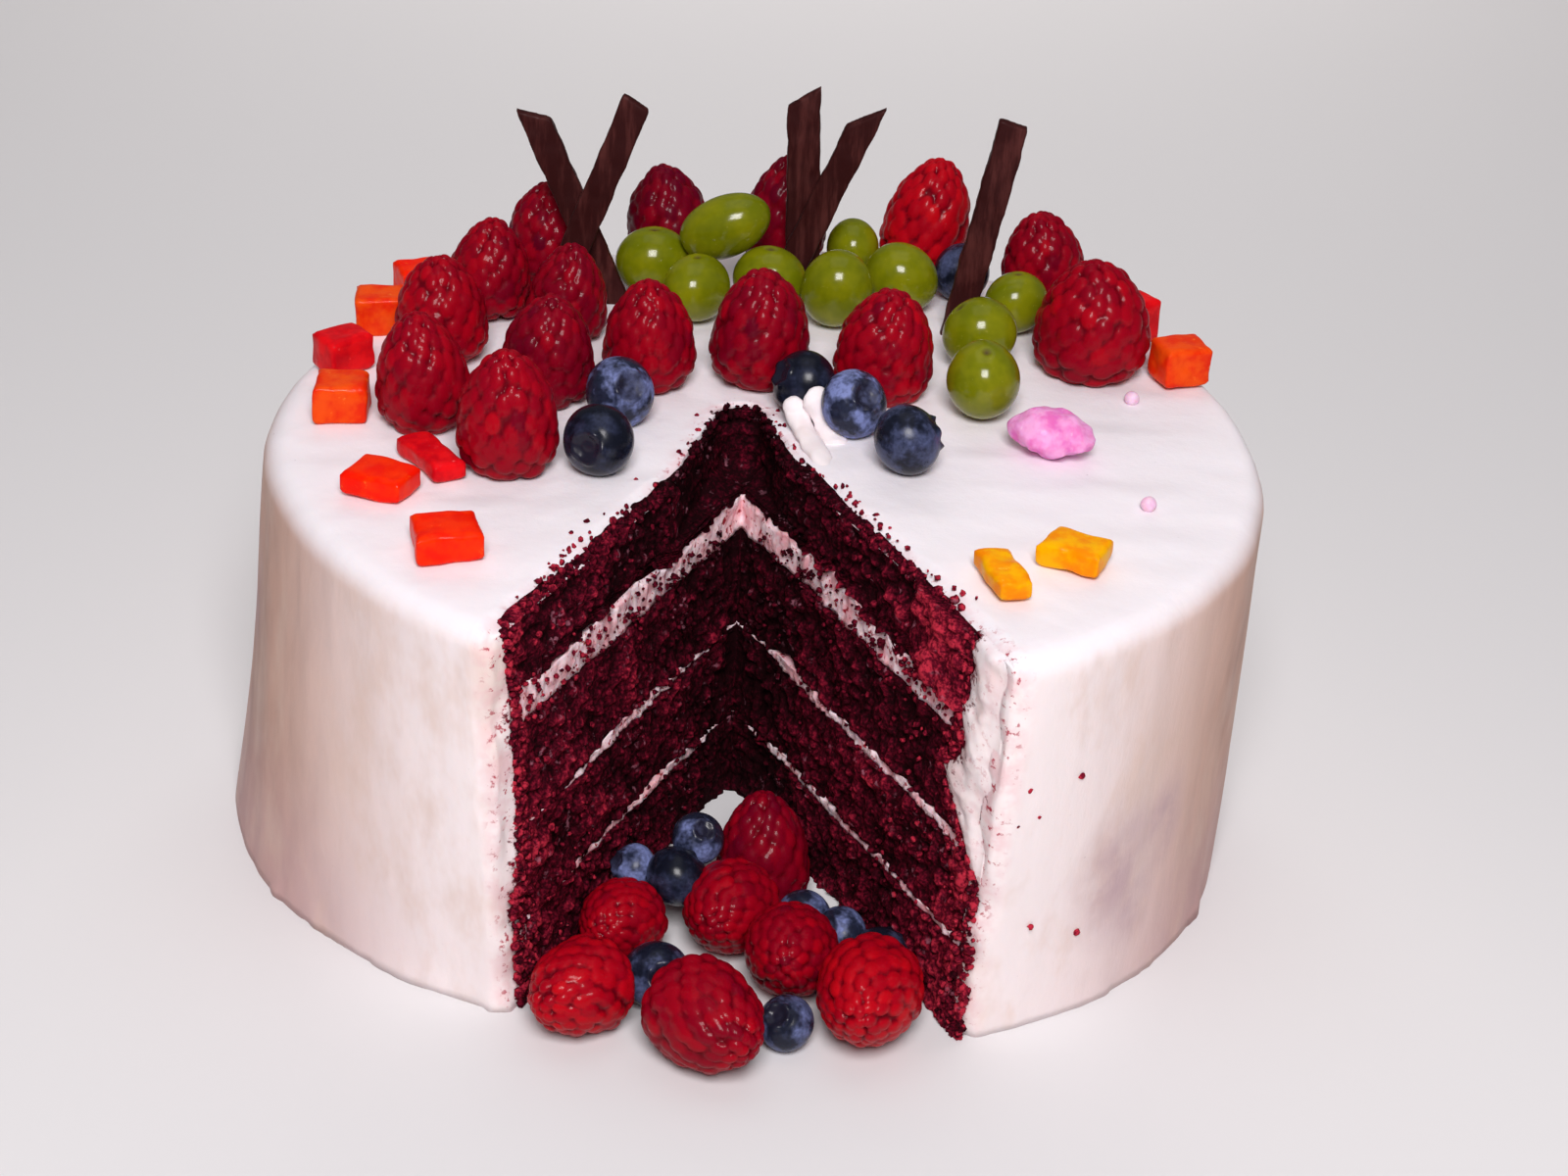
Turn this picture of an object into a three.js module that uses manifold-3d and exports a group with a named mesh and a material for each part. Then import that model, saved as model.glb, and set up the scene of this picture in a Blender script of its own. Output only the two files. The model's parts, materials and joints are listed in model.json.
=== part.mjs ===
// A red velvet layer cake with a wedge cut out of it, dressed with fruit, candied dice and chocolate sticks.
// Millimetres, +Z up. The origin is on the cake's axis, at the level that the cake stands on.
import * as THREE from "three";
import { mergeVertices } from "three/addons/utils/BufferGeometryUtils.js";
import Module from "manifold-3d";

const wasm = await Module();
wasm.setup();

// Driving dimensions of the cake: an 8-inch sponge in four layers, iced all over.
const SPONGE_RADIUS = 101.5;
const SPONGE_HEIGHTS = [21, 21, 24, 19];
const CREAM_HEIGHTS = [2, 2.5, 4];
const ICING_SIDE = 5.9;
const ICING_TOP = 2;
const ICING_EDGE_ROUND = 5;
const GAP = 0.3;

// The cake is uneven: icing gathers at its foot on the -X side, and the whole foot is tucked in at the front.
const FOOT_FLARE = 13;
const FLARE_HEADING = Math.PI;
const FOOT_TUCK = 12;
const TUCK_HEADING = THREE.MathUtils.degToRad(-100);
const SIDE_WAVE = 0.7;
const WAVES_ROUND = 5;
const WAVE_RISE = 19;

// The wedge taken out: its tip and the directions of its two cuts.
const CUT_TIP = new THREE.Vector2(-5.5, 3.5);
const CUT_RIGHT = THREE.MathUtils.degToRad(-61);
const CUT_LEFT = THREE.MathUtils.degToRad(245);

// The tip of the wedge tore a blunt hollow into the topmost sponge: the middle and radius of its round end,
// how far its flanks flare in degrees, how far it runs forward into the wedge, and its floor.
const TORN_TIP = { x: -6.6, y: 6, radius: 5.5, flare: 13.5, length: 40, floor: 77, sides: 7 };

// Crumb relief on the cut faces, and the torn chunk near the top outer corner of the right cut.
const CRAG_DEPTH = 1.1;
const CREAM_CRAG_DEPTH = 0.4;
const CHUNK = { layer: 3, share: 0.81, reach: 0.1, depth: 2.4 };

// Seeds of the random crags and of the uneven dice.
const SPONGE_SEED = 11;
const CREAM_SEED = 31;
const DICE_SEED = 51;

// Fineness of the faceted surfaces.
const CUT_STEPS = 14;
const RIM_STEPS = 42;
const SPONGE_RINGS = 4;
const ICING_SIDES = 66;
const SIDE_ROWS = 5;
const EDGE_STEPS = 3;
const BLUEBERRY_SIDES = 10;
const HEAP_BERRY_SIDES = 7;
const GRAPE_SIDES = 10;
const GRAPE_ROWS = 7;

// Sizes shared by the toppings.
const STICK_THICKNESS = 2.7;
const STICK_SUNK = 1.3;
const DRUPELET_VALLEY = 0.9;
const RASPBERRY_TAPER = 0.16;
const RASPBERRY_ROUNDING = 0.1;
const DICE_WEAR = 0.8;
const DICE_UNEVENNESS = 0.18;

const SPONGE_STACK = SPONGE_HEIGHTS.reduce((sum, height) => sum + height, 0);
const CREAM_STACK = CREAM_HEIGHTS.reduce((sum, height) => sum + height, 0);
const ICING_UNDERSIDE = SPONGE_STACK + CREAM_STACK;
const CAKE_TOP = ICING_UNDERSIDE + ICING_TOP;
const ICING_BORE = SPONGE_RADIUS + 2 * GAP;
const CAKE_RADIUS = ICING_BORE + ICING_SIDE;

const COLOURS = {
  icing: 0xf6efe9,
  sponge: 0x4a0710,
  cream: 0xefd6d4,
  raspberry: 0xa3122c,
  blueberry: 0x2a3350,
  grape: 0x8ca11a,
  chocolate: 0x36140f,
  orangeRed: 0xf0451a,
  orange: 0xf47a1c,
  red: 0xd81b22,
  yellow: 0xf7b215,
  candy: 0xee7fd0,
};

// Raspberries on top: x, y, width, height, lean in degrees, heading of the lean in degrees.
const RASPBERRIES = [
  [-75, -5, 22.5, 26, 6, 200],
  [-55, -24, 23, 28, 8, 270],
  [-75.5, 29, 22.5, 24.5, 5, 120],
  [-67.5, 54.5, 20.5, 23.5, 6, 60],
  [-50, 11, 22.5, 24.5, 4, 320],
  [-48.5, 44, 20, 23, 5, 30],
  [-56, 78, 21, 24, 6, 100],
  [-28, 21, 22.5, 25.5, 6, 250],
  [-3.5, 25.5, 24, 27, 4, 290],
  [24.5, 21.5, 24, 26, 7, 310],
  [-27.5, 91.5, 22, 25, 8, 170],
  [1, 94.5, 22, 28, 5, 60],
  [36, 93.5, 22.5, 30, 12, 20],
  [64, 76.5, 22, 24.5, 10, 200],
  [73, 40, 29, 28, 8, 250],
];

// Blueberries on top: x, y, radius, lean of the crown in degrees, heading of the lean in degrees.
const BLUEBERRIES = [
  [-33, 0, 7.5, 55, 300],
  [-36, -23.5, 7.6, 80, 250],
  [7, 10, 7, 60, 200],
  [18, 0.5, 7.3, 50, 300],
  [29, -16.5, 7.5, 75, 10],
  [44.5, 77.5, 7, 90, 100],
];

// Grapes on the icing: x, y, radius, length over width, turn of the length from +X and its rise, in degrees.
const GRAPES = [
  [-30, 71.5, 8.2, 1.14, 10, 0],
  [-2, 64.5, 8, 1.15, -15, 0],
  [-19, 57, 8, 1.12, 60, 0],
  [14, 57.5, 8.4, 1.13, 0, 75],
  [29.5, 68.5, 8.2, 1.14, 0, -30],
  [18, 89.5, 7, 1.05, 90, 0],
  [56.5, 59, 7.5, 1.06, 30, 0],
  [47, 37.5, 8.4, 1.08, 0, 40],
  [46.5, 12, 8.7, 1.06, 90, 20],
];

// The grape of the second tier, and the three that carry it, as places in the list above.
const UPPER_GRAPE = { radius: 7.4, stretch: 1.6, rise: 2.7, shiftX: 2, shiftY: -2, tilt: 26 };
const GRAPE_SEAT = [0, 1, 2];

// Chocolate sticks: foot x, foot y, top x, top y, top z, width, slant of the top end.
const STICKS = [
  [-38.5, 65, -59.5, 67, 143.5, 7, 5],
  [-54, 60, -34, 59.5, 148.5, 7, 1],
  [6, 79, 4, 79, 147, 8, -5],
  [0, 75, 20.5, 73, 146, 7, -8],
  [42.5, 57, 52, 55, 149.5, 7, 1],
];

// Candied dice: x, y, length, width, height, turn in degrees, colour.
const DICE = [
  [-84.5, 58.5, 11, 10, 10, 25, "orangeRed"],
  [-91.5, 42, 12, 10.5, 9.5, 10, "orange"],
  [-96.5, 20, 11.5, 9.5, 9, 40, "red"],
  [-93, -4, 12.5, 11.5, 9, 5, "orange"],
  [-79.5, -38.5, 14, 11, 5.5, -20, "orangeRed"],
  [-63, -63, 14, 13, 6.5, 15, "orangeRed"],
  [-71, -26, 19, 8, 4.5, -55, "red"],
  [47.6, -64.7, 16, 8, 4.5, -72, "yellow"],
  [62.6, -55, 14, 11, 5.5, -25, "yellow"],
  [93.5, 36.5, 12.5, 11.5, 9.5, 20, "orange"],
  [85, 57.5, 10, 9, 11, 40, "red"],
];

// A piece of sugar candy: place and half sizes.
const CANDY = { x: 61, y: -5, halfLength: 9.7, halfWidth: 7, halfHeight: 5, turn: -20 };

// Fruit that lies in the cut, and the low mound that it is heaped on. Raspberries have the columns above.
// A blueberry has x, y, z, radius, lean of the crown and heading of the lean.
const CUT_RASPBERRIES = [
  [3, -42, 20.5, 27, 10, 100],
  [-4.3, -63, 20, 22, 75, 250],
  [-27.3, -67, 17.5, 19, 70, 240],
  [-34.5, -92, 20, 22, 80, 230],
  [-6, -101, 22, 27, 85, 310],
  [9.3, -77.5, 19.5, 22, 65, 260],
  [25.5, -92, 22, 26, 75, 260],
];
const CUT_BLUEBERRIES = [
  [-11.3, -47, 18.9, 5.8, 60, 280],
  [-15.6, -56.5, 15.2, 6.7, 70, 250],
  [-25, -51.5, 13.6, 5.2, 60, 320],
  [-18.3, -80.5, 6.6, 7.2, 60, 260],
  [9.3, -93, 5.8, 5.9, 70, 250],
  [12.5, -57, 6, 6.3, 80, 300],
  [20.2, -61.5, 5.8, 6, 60, 250],
  [29, -72.5, 9.5, 5.8, 50, 230],
];
// The humps of the mound: x, y, half width, half length and height.
const MOUND = [
  [-2, -68, 30, 29, 8],
  [-4, -91, 34, 13, 6],
  [27, -71, 6.5, 7, 7],
];
const BERRY_FLAT = 1;

// A seeded source of numbers from 0 to 1, alike on every run.
function seededRandom(seed) {
  let state = seed;
  return () => {
    state = (state * 1664525 + 1013904223) % 4294967296;
    return state / 4294967296;
  };
}

// A closed geometry as a solid that can be joined and cut.
function solidOf(geometry) {
  const bare = geometry.clone();
  bare.deleteAttribute("normal");
  bare.deleteAttribute("uv");
  const merged = mergeVertices(bare, 1e-4);
  const vertProperties = merged.attributes.position.array;
  const triVerts = new Uint32Array(merged.index.array);
  return new wasm.Manifold(new wasm.Mesh({ numProp: 3, vertProperties, triVerts }));
}

// The surface of a solid as a three.js geometry.
function geometryOf(solid) {
  const { vertProperties, triVerts } = solid.getMesh();
  return geometryFrom(vertProperties, triVerts);
}

// A geometry from flat lists of coordinates and of corners.
function geometryFrom(positions, corners) {
  const geometry = new THREE.BufferGeometry();
  geometry.setAttribute("position", new THREE.BufferAttribute(new Float32Array(positions), 3));
  geometry.setIndex(new THREE.BufferAttribute(new Uint32Array(corners), 1));
  geometry.computeVertexNormals();
  return geometry;
}

// A named mesh with the colour and gloss of its food.
function makeMesh(name, geometry, colour, roughness) {
  const material = new THREE.MeshStandardMaterial({ color: COLOURS[colour], roughness, metalness: 0 });
  const mesh = new THREE.Mesh(geometry, material);
  mesh.name = name;
  return mesh;
}

// Leans a piece from upright towards a heading.
function lean(object, degrees, heading) {
  const towards = THREE.MathUtils.degToRad(heading);
  const axis = new THREE.Vector3(-Math.sin(towards), Math.cos(towards), 0);
  object.quaternion.setFromAxisAngle(axis, THREE.MathUtils.degToRad(degrees));
}

// Sets a mesh at x, y with its lowest point at a level.
function seat(mesh, x, y, level) {
  mesh.position.set(x, y, 0);
  mesh.updateMatrixWorld(true);
  const lowest = new THREE.Box3().setFromObject(mesh, true).min.z;
  mesh.position.z = level - lowest;
  mesh.updateMatrixWorld(true);
}

// A swell from 0 to 1 on the side of the cake that faces a heading, full at the foot and none at the top.
function footSwell(angle, heading, z) {
  const facing = Math.max(0, Math.cos(angle - heading));
  return facing * facing * (1 - z / CAKE_TOP);
}

// How far the sponge's rim is tucked in at an angle and a level.
function tuck(angle, z) {
  return FOOT_TUCK * footSwell(angle, TUCK_HEADING, z);
}

// How far a cut runs from the tip of the wedge to a rim of the given radius.
function cutLength(heading, radius) {
  const along = CUT_TIP.x * Math.cos(heading) + CUT_TIP.y * Math.sin(heading);
  return -along + Math.sqrt(along * along - CUT_TIP.lengthSq() + radius * radius);
}

// A point on a cut at a level, at a share of the way from the tip to the sponge's rim.
function cutPoint(heading, share, z) {
  const reach = share * cutLength(heading, SPONGE_RADIUS - tuck(heading, z));
  return new THREE.Vector2(CUT_TIP.x + reach * Math.cos(heading), CUT_TIP.y + reach * Math.sin(heading));
}

// A layer's outline at a level, counter-clockwise: up the right cut, round the rim, back down the left cut.
// A point on a cut also has its side, its share of the way out and the direction that faces into the wedge.
function layerOutline(z) {
  const points = [];
  const addCut = (heading, side, step) => {
    const share = step / CUT_STEPS;
    const facing = new THREE.Vector2(side * Math.sin(heading), -side * Math.cos(heading));
    points.push({ at: cutPoint(heading, share, z), side, share, facing });
  };
  for (let step = 0; step < CUT_STEPS; step += 1) addCut(CUT_RIGHT, 1, step);
  const first = cutPoint(CUT_RIGHT, 1, z).angle() - 2 * Math.PI;
  const last = cutPoint(CUT_LEFT, 1, z).angle();
  for (let step = 0; step <= RIM_STEPS; step += 1) {
    const angle = first + ((last - first) * step) / RIM_STEPS;
    const radius = SPONGE_RADIUS - tuck(angle, z);
    const at = new THREE.Vector2(radius * Math.cos(angle), radius * Math.sin(angle));
    points.push({ at, side: 0 });
  }
  for (let step = CUT_STEPS - 1; step > 0; step -= 1) addCut(CUT_LEFT, -1, step);
  return points;
}

// How far the crumb stands out of a cut at one point.
function cragDepth(point, layer, depth, random) {
  const rough = depth * (2 * random() - 1);
  if (point.side === 0 || point.share === 0) return 0;
  if (point.side === 1 && layer === CHUNK.layer && Math.abs(point.share - CHUNK.share) < CHUNK.reach) {
    return CHUNK.depth + rough;
  }
  return rough;
}

// A layer of sponge or cream between two levels, with the wedge out of it and crags on its cut faces.
function layerGeometry(bottom, top, rings, layer, depth, seed) {
  const random = seededRandom(seed);
  const positions = [];
  const corners = [];
  for (let ring = 0; ring < rings; ring += 1) {
    const level = bottom + ((top - bottom) * ring) / (rings - 1);
    for (const point of layerOutline(level)) {
      const crag = cragDepth(point, layer, depth, random);
      const facing = point.facing ?? new THREE.Vector2();
      positions.push(point.at.x + crag * facing.x, point.at.y + crag * facing.y, level);
    }
  }
  const count = positions.length / 3 / rings;
  for (let ring = 0; ring < rings - 1; ring += 1) {
    for (let here = 0; here < count; here += 1) {
      const next = (here + 1) % count;
      const low = ring * count;
      const high = low + count;
      corners.push(low + here, low + next, high + next, low + here, high + next, high + here);
    }
  }
  const ringContour = (start) => {
    const corner = (_, i) => new THREE.Vector2(positions[3 * (start + i)], positions[3 * (start + i) + 1]);
    return Array.from({ length: count }, corner);
  };
  const topStart = (rings - 1) * count;
  for (const [a, b, c] of THREE.ShapeUtils.triangulateShape(ringContour(0), [])) corners.push(c, b, a);
  for (const [a, b, c] of THREE.ShapeUtils.triangulateShape(ringContour(topStart), [])) {
    corners.push(topStart + a, topStart + b, topStart + c);
  }
  return geometryFrom(positions, corners);
}

// The hollow at the tip of the wedge, from its floor to above the icing.
function tornTip() {
  const { x, y, radius, flare, length, floor, sides } = TORN_TIP;
  const slope = THREE.MathUtils.degToRad(flare);
  const halfWidth = radius / Math.cos(slope) + length * Math.tan(slope);
  const shape = new THREE.Shape();
  shape.moveTo(x - halfWidth, y - length);
  shape.lineTo(x + halfWidth, y - length);
  shape.absarc(x, y, radius, slope, Math.PI - slope);
  shape.closePath();
  const settings = { depth: CAKE_TOP, bevelEnabled: false, curveSegments: sides };
  return solidOf(new THREE.ExtrudeGeometry(shape, settings).translate(0, 0, floor));
}

// The stack of sponge layers with cream between them.
function makeLayers() {
  const layers = new THREE.Group();
  const topmost = SPONGE_HEIGHTS.length - 1;
  let level = 0;
  SPONGE_HEIGHTS.forEach((height, layer) => {
    let sponge = layerGeometry(level, level + height, SPONGE_RINGS, layer, CRAG_DEPTH, SPONGE_SEED + layer);
    if (layer === topmost) sponge = geometryOf(solidOf(sponge).subtract(tornTip()));
    layers.add(makeMesh(`sponge_${layer + 1}`, sponge, "sponge", 0.95));
    level += height;
    if (layer < CREAM_HEIGHTS.length) {
      const thickness = CREAM_HEIGHTS[layer];
      const cream = layerGeometry(level, level + thickness, 2, layer, CREAM_CRAG_DEPTH, CREAM_SEED + layer);
      layers.add(makeMesh(`cream_${layer + 1}`, cream, "cream", 0.6));
      level += thickness;
    }
  });
  return layers;
}

// The icing's outer form: a drum with a rounded top edge, flared foot and gently waving side.
function icingDrum() {
  const profile = [new THREE.Vector2(0, 0)];
  const shoulder = CAKE_TOP - ICING_EDGE_ROUND;
  for (let row = 0; row < SIDE_ROWS; row += 1) {
    profile.push(new THREE.Vector2(CAKE_RADIUS, (shoulder * row) / SIDE_ROWS));
  }
  for (let step = 0; step <= EDGE_STEPS; step += 1) {
    const angle = (0.5 * Math.PI * step) / EDGE_STEPS;
    const inset = ICING_EDGE_ROUND * (1 - Math.cos(angle));
    profile.push(new THREE.Vector2(CAKE_RADIUS - inset, shoulder + ICING_EDGE_ROUND * Math.sin(angle)));
  }
  profile.push(new THREE.Vector2(0, CAKE_TOP));
  const drum = new THREE.LatheGeometry(profile, ICING_SIDES).rotateX(Math.PI / 2);
  const positions = drum.attributes.position;
  for (let i = 0; i < positions.count; i += 1) {
    const x = positions.getX(i);
    const y = positions.getY(i);
    const z = positions.getZ(i);
    const radius = Math.hypot(x, y);
    if (radius < CAKE_RADIUS - ICING_EDGE_ROUND / 2) continue;
    const angle = Math.atan2(y, x);
    const flare = FOOT_FLARE * footSwell(angle, FLARE_HEADING, z);
    const ripple = Math.sin(WAVES_ROUND * angle + 1) * Math.sin(z / WAVE_RISE + 2 * Math.sin(angle));
    const grown = (radius + flare - tuck(angle, z) + SIDE_WAVE * ripple) / radius;
    positions.setXY(i, x * grown, y * grown);
  }
  return drum;
}

// The wedge that is cut out of the icing, as a prism taller than the cake.
function wedgePrism() {
  const reach = 2 * CAKE_RADIUS;
  const margin = 5;
  const corner = (heading) => [CUT_TIP.x + reach * Math.cos(heading), CUT_TIP.y + reach * Math.sin(heading)];
  const shape = new THREE.Shape();
  shape.moveTo(CUT_TIP.x, CUT_TIP.y);
  shape.lineTo(...corner(CUT_LEFT));
  shape.lineTo(...corner(CUT_RIGHT));
  shape.closePath();
  const prism = new THREE.ExtrudeGeometry(shape, { depth: CAKE_TOP + 2 * margin, bevelEnabled: false });
  return prism.translate(0, 0, -margin);
}

// A chocolate stick, or with some play its slot: a flat bar with a slanting top end and a level foot.
function stickGeometry(stick, play) {
  const [footX, footY, topX, topY, topZ, width, slant] = stick;
  const length = Math.hypot(topX - footX, topY - footY, topZ - CAKE_TOP);
  const half = width / 2 + play;
  const tilt = (topX - footX) / (topZ - CAKE_TOP);
  const footLevel = (side) => side * half * tilt - STICK_SUNK - play;
  const shape = new THREE.Shape();
  shape.moveTo(-half, footLevel(-1));
  shape.lineTo(half, footLevel(1));
  shape.lineTo(half, length - Math.max(slant, 0));
  shape.lineTo(-half, length + Math.min(slant, 0));
  shape.closePath();
  const depth = STICK_THICKNESS + 2 * play;
  return new THREE.ExtrudeGeometry(shape, { depth, bevelEnabled: false }).translate(0, 0, -depth / 2);
}

// Turns a stick so that it rises from its foot to its top with its broad face forward.
function placeStick(object, stick) {
  const [footX, footY, topX, topY, topZ] = stick;
  const foot = new THREE.Vector3(footX, footY, CAKE_TOP);
  const rise = new THREE.Vector3(topX, topY, topZ).sub(foot).normalize();
  const across = new THREE.Vector3().crossVectors(rise, new THREE.Vector3(0, -1, 0)).normalize();
  const face = new THREE.Vector3().crossVectors(across, rise);
  object.quaternion.setFromRotationMatrix(new THREE.Matrix4().makeBasis(across, rise, face));
  object.position.copy(foot);
  object.updateMatrixWorld(true);
}

// The icing: the drum, hollow for the sponge, less the wedge and the slots of the sticks.
function makeIcing() {
  const margin = 5;
  const bore = new THREE.CylinderGeometry(ICING_BORE, ICING_BORE, ICING_UNDERSIDE + margin, ICING_SIDES);
  bore.rotateX(Math.PI / 2).translate(0, 0, (ICING_UNDERSIDE - margin) / 2);
  const corners = bore.attributes.position;
  for (let i = 0; i < corners.count; i += 1) {
    const x = corners.getX(i);
    const y = corners.getY(i);
    const narrowed = 1 - tuck(Math.atan2(y, x), corners.getZ(i)) / ICING_BORE;
    corners.setXY(i, x * narrowed, y * narrowed);
  }
  let icing = solidOf(icingDrum()).subtract(solidOf(bore));
  icing = icing.subtract(solidOf(wedgePrism())).subtract(tornTip());
  for (const stick of STICKS) {
    const slot = new THREE.Mesh(stickGeometry(stick, GAP));
    placeStick(slot, stick);
    icing = icing.subtract(solidOf(slot.geometry.applyMatrix4(slot.matrixWorld)));
  }
  return makeMesh("icing", geometryOf(icing), "icing", 0.55);
}

// The five chocolate sticks.
function makeSticks() {
  const sticks = new THREE.Group();
  STICKS.forEach((stick, i) => {
    const mesh = makeMesh(`chocolate_stick_${i + 1}`, stickGeometry(stick, 0), "chocolate", 0.4);
    placeStick(mesh, stick);
    sticks.add(mesh);
  });
  return sticks;
}

// A raspberry standing on its broad end: a drupelet on each corner of an icosphere, a valley in each face.
function raspberryGeometry(width, height) {
  const sphere = new THREE.IcosahedronGeometry(1, 1);
  sphere.deleteAttribute("normal");
  sphere.deleteAttribute("uv");
  const net = mergeVertices(sphere, 1e-4);
  const peaks = net.attributes.position;
  const faces = net.index.array;
  const points = [];
  for (let i = 0; i < peaks.count; i += 1) points.push(new THREE.Vector3().fromBufferAttribute(peaks, i));
  const valleyOfEdge = new Map();
  for (let face = 0; face < faces.length; face += 3) {
    const ring = [faces[face], faces[face + 1], faces[face + 2]];
    const middle = ring.reduce((sum, i) => sum.add(points[i]), new THREE.Vector3());
    points.push(middle.setLength(DRUPELET_VALLEY));
    ring.forEach((from, k) => valleyOfEdge.set(`${from} ${ring[(k + 1) % 3]}`, points.length - 1));
  }
  const corners = [];
  for (const [edge, valley] of valleyOfEdge) {
    const [from, to] = edge.split(" ").map(Number);
    corners.push(from, valleyOfEdge.get(`${to} ${from}`), valley);
  }
  const positions = points.flatMap(({ x, y, z }) => {
    const taper = 0.95 - RASPBERRY_TAPER * z - RASPBERRY_ROUNDING * z * Math.abs(z);
    return [0.5 * width * x * taper, 0.5 * width * y * taper, 0.5 * height * z];
  });
  return geometryFrom(positions, corners);
}

// A blueberry with the rim and hollow of its crown on top.
function blueberryGeometry(berryRadius, sides) {
  const profile = [
    [0, -0.95],
    [0.55, -0.8],
    [0.92, -0.4],
    [1, 0.05],
    [0.86, 0.5],
    [0.55, 0.82],
    [0.42, 1],
    [0.3, 0.94],
    [0, 0.78],
  ].map(([radius, level]) => new THREE.Vector2(radius * berryRadius, level * berryRadius));
  return new THREE.LatheGeometry(profile, sides).rotateX(Math.PI / 2);
}

// A grape, longer than wide, with its length turned and tilted in degrees.
function grapeGeometry(radius, stretch, turn, tilt) {
  const sphere = new THREE.SphereGeometry(radius, GRAPE_SIDES, GRAPE_ROWS).rotateX(Math.PI / 2);
  sphere.scale(stretch, 1, 1).rotateY(THREE.MathUtils.degToRad(-tilt));
  return sphere.rotateZ(THREE.MathUtils.degToRad(turn));
}

// The raspberries and blueberries that stand on the icing.
function makeBerries() {
  const berries = new THREE.Group();
  RASPBERRIES.forEach(([x, y, width, height, degrees, heading], i) => {
    const mesh = makeMesh(`raspberry_${i + 1}`, raspberryGeometry(width, height), "raspberry", 0.45);
    lean(mesh, degrees, heading);
    seat(mesh, x, y, CAKE_TOP + GAP);
    berries.add(mesh);
  });
  BLUEBERRIES.forEach(([x, y, radius, degrees, heading], i) => {
    const berry = blueberryGeometry(radius, BLUEBERRY_SIDES);
    const mesh = makeMesh(`blueberry_${i + 1}`, berry, "blueberry", 0.55);
    lean(mesh, degrees, heading);
    seat(mesh, x, y, CAKE_TOP + GAP);
    berries.add(mesh);
  });
  return berries;
}

// Where a grape's centre is when it rests on three others, at a given distance from their centres.
function seatOnThree(low, between) {
  const [a, b, c] = low;
  const ab = b.clone().sub(a);
  const ac = c.clone().sub(a);
  const normal = new THREE.Vector3().crossVectors(ab, ac);
  const toCentre = new THREE.Vector3()
    .crossVectors(normal, ab)
    .multiplyScalar(ac.lengthSq())
    .add(new THREE.Vector3().crossVectors(ac, normal).multiplyScalar(ab.lengthSq()))
    .divideScalar(2 * normal.lengthSq());
  const rise = Math.sqrt(between * between - toCentre.lengthSq());
  return a.clone().add(toCentre).add(new THREE.Vector3(0, 0, rise));
}

// The grapes: nine on the icing and one on top of three of them.
function makeGrapes() {
  const grapes = new THREE.Group();
  GRAPES.forEach(([x, y, radius, stretch, turn, tilt], i) => {
    const mesh = makeMesh(`grape_${i + 1}`, grapeGeometry(radius, stretch, turn, tilt), "grape", 0.25);
    seat(mesh, x, y, CAKE_TOP + GAP);
    grapes.add(mesh);
  });
  const { radius, stretch, rise, shiftX, shiftY, tilt } = UPPER_GRAPE;
  const lengthwise = grapeGeometry(radius, stretch, 0, tilt);
  const upper = makeMesh(`grape_${GRAPES.length + 1}`, lengthwise, "grape", 0.25);
  const carriers = GRAPE_SEAT.map((i) => grapes.children[i].position);
  const between = GRAPES[GRAPE_SEAT[0]][2] + radius + rise;
  upper.position.copy(seatOnThree(carriers, between)).add(new THREE.Vector3(shiftX, shiftY, 0));
  grapes.add(upper);
  return grapes;
}

// A candied die: an uneven quadrilateral block with worn edges.
function diceGeometry(length, width, height, seed) {
  const random = seededRandom(seed);
  const uneven = () => 1 - DICE_UNEVENNESS * random();
  const shape = new THREE.Shape();
  const quadrants = [[-1, -1], [1, -1], [1, 1], [-1, 1]];
  quadrants.forEach(([alongX, alongY], i) => {
    const x = alongX * (length / 2 - DICE_WEAR) * uneven();
    const y = alongY * (width / 2 - DICE_WEAR) * uneven();
    if (i === 0) shape.moveTo(x, y);
    else shape.lineTo(x, y);
  });
  shape.closePath();
  const bevel = { bevelThickness: DICE_WEAR, bevelSize: DICE_WEAR, bevelSegments: 1 };
  return new THREE.ExtrudeGeometry(shape, { depth: height - 2 * DICE_WEAR, ...bevel });
}

// The candied dice and the piece of sugar candy on the icing.
function makeSweets() {
  const sweets = new THREE.Group();
  DICE.forEach(([x, y, length, width, height, turn, colour], i) => {
    const die = diceGeometry(length, width, height, DICE_SEED + i);
    const mesh = makeMesh(`fruit_dice_${i + 1}`, die, colour, 0.35);
    mesh.rotation.z = THREE.MathUtils.degToRad(turn);
    seat(mesh, x, y, CAKE_TOP + GAP);
    sweets.add(mesh);
  });
  const lump = new THREE.IcosahedronGeometry(1, 1).scale(CANDY.halfLength, CANDY.halfWidth, CANDY.halfHeight);
  const candy = makeMesh("sugar_candy", lump, "candy", 0.35);
  candy.rotation.z = THREE.MathUtils.degToRad(CANDY.turn);
  seat(candy, CANDY.x, CANDY.y, CAKE_TOP + GAP);
  sweets.add(candy);
  return sweets;
}

// The mesh's surface in the cake's frame, as a solid.
function placedSolid(mesh) {
  mesh.updateMatrixWorld(true);
  return solidOf(mesh.geometry.clone().applyMatrix4(mesh.matrixWorld));
}

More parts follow.
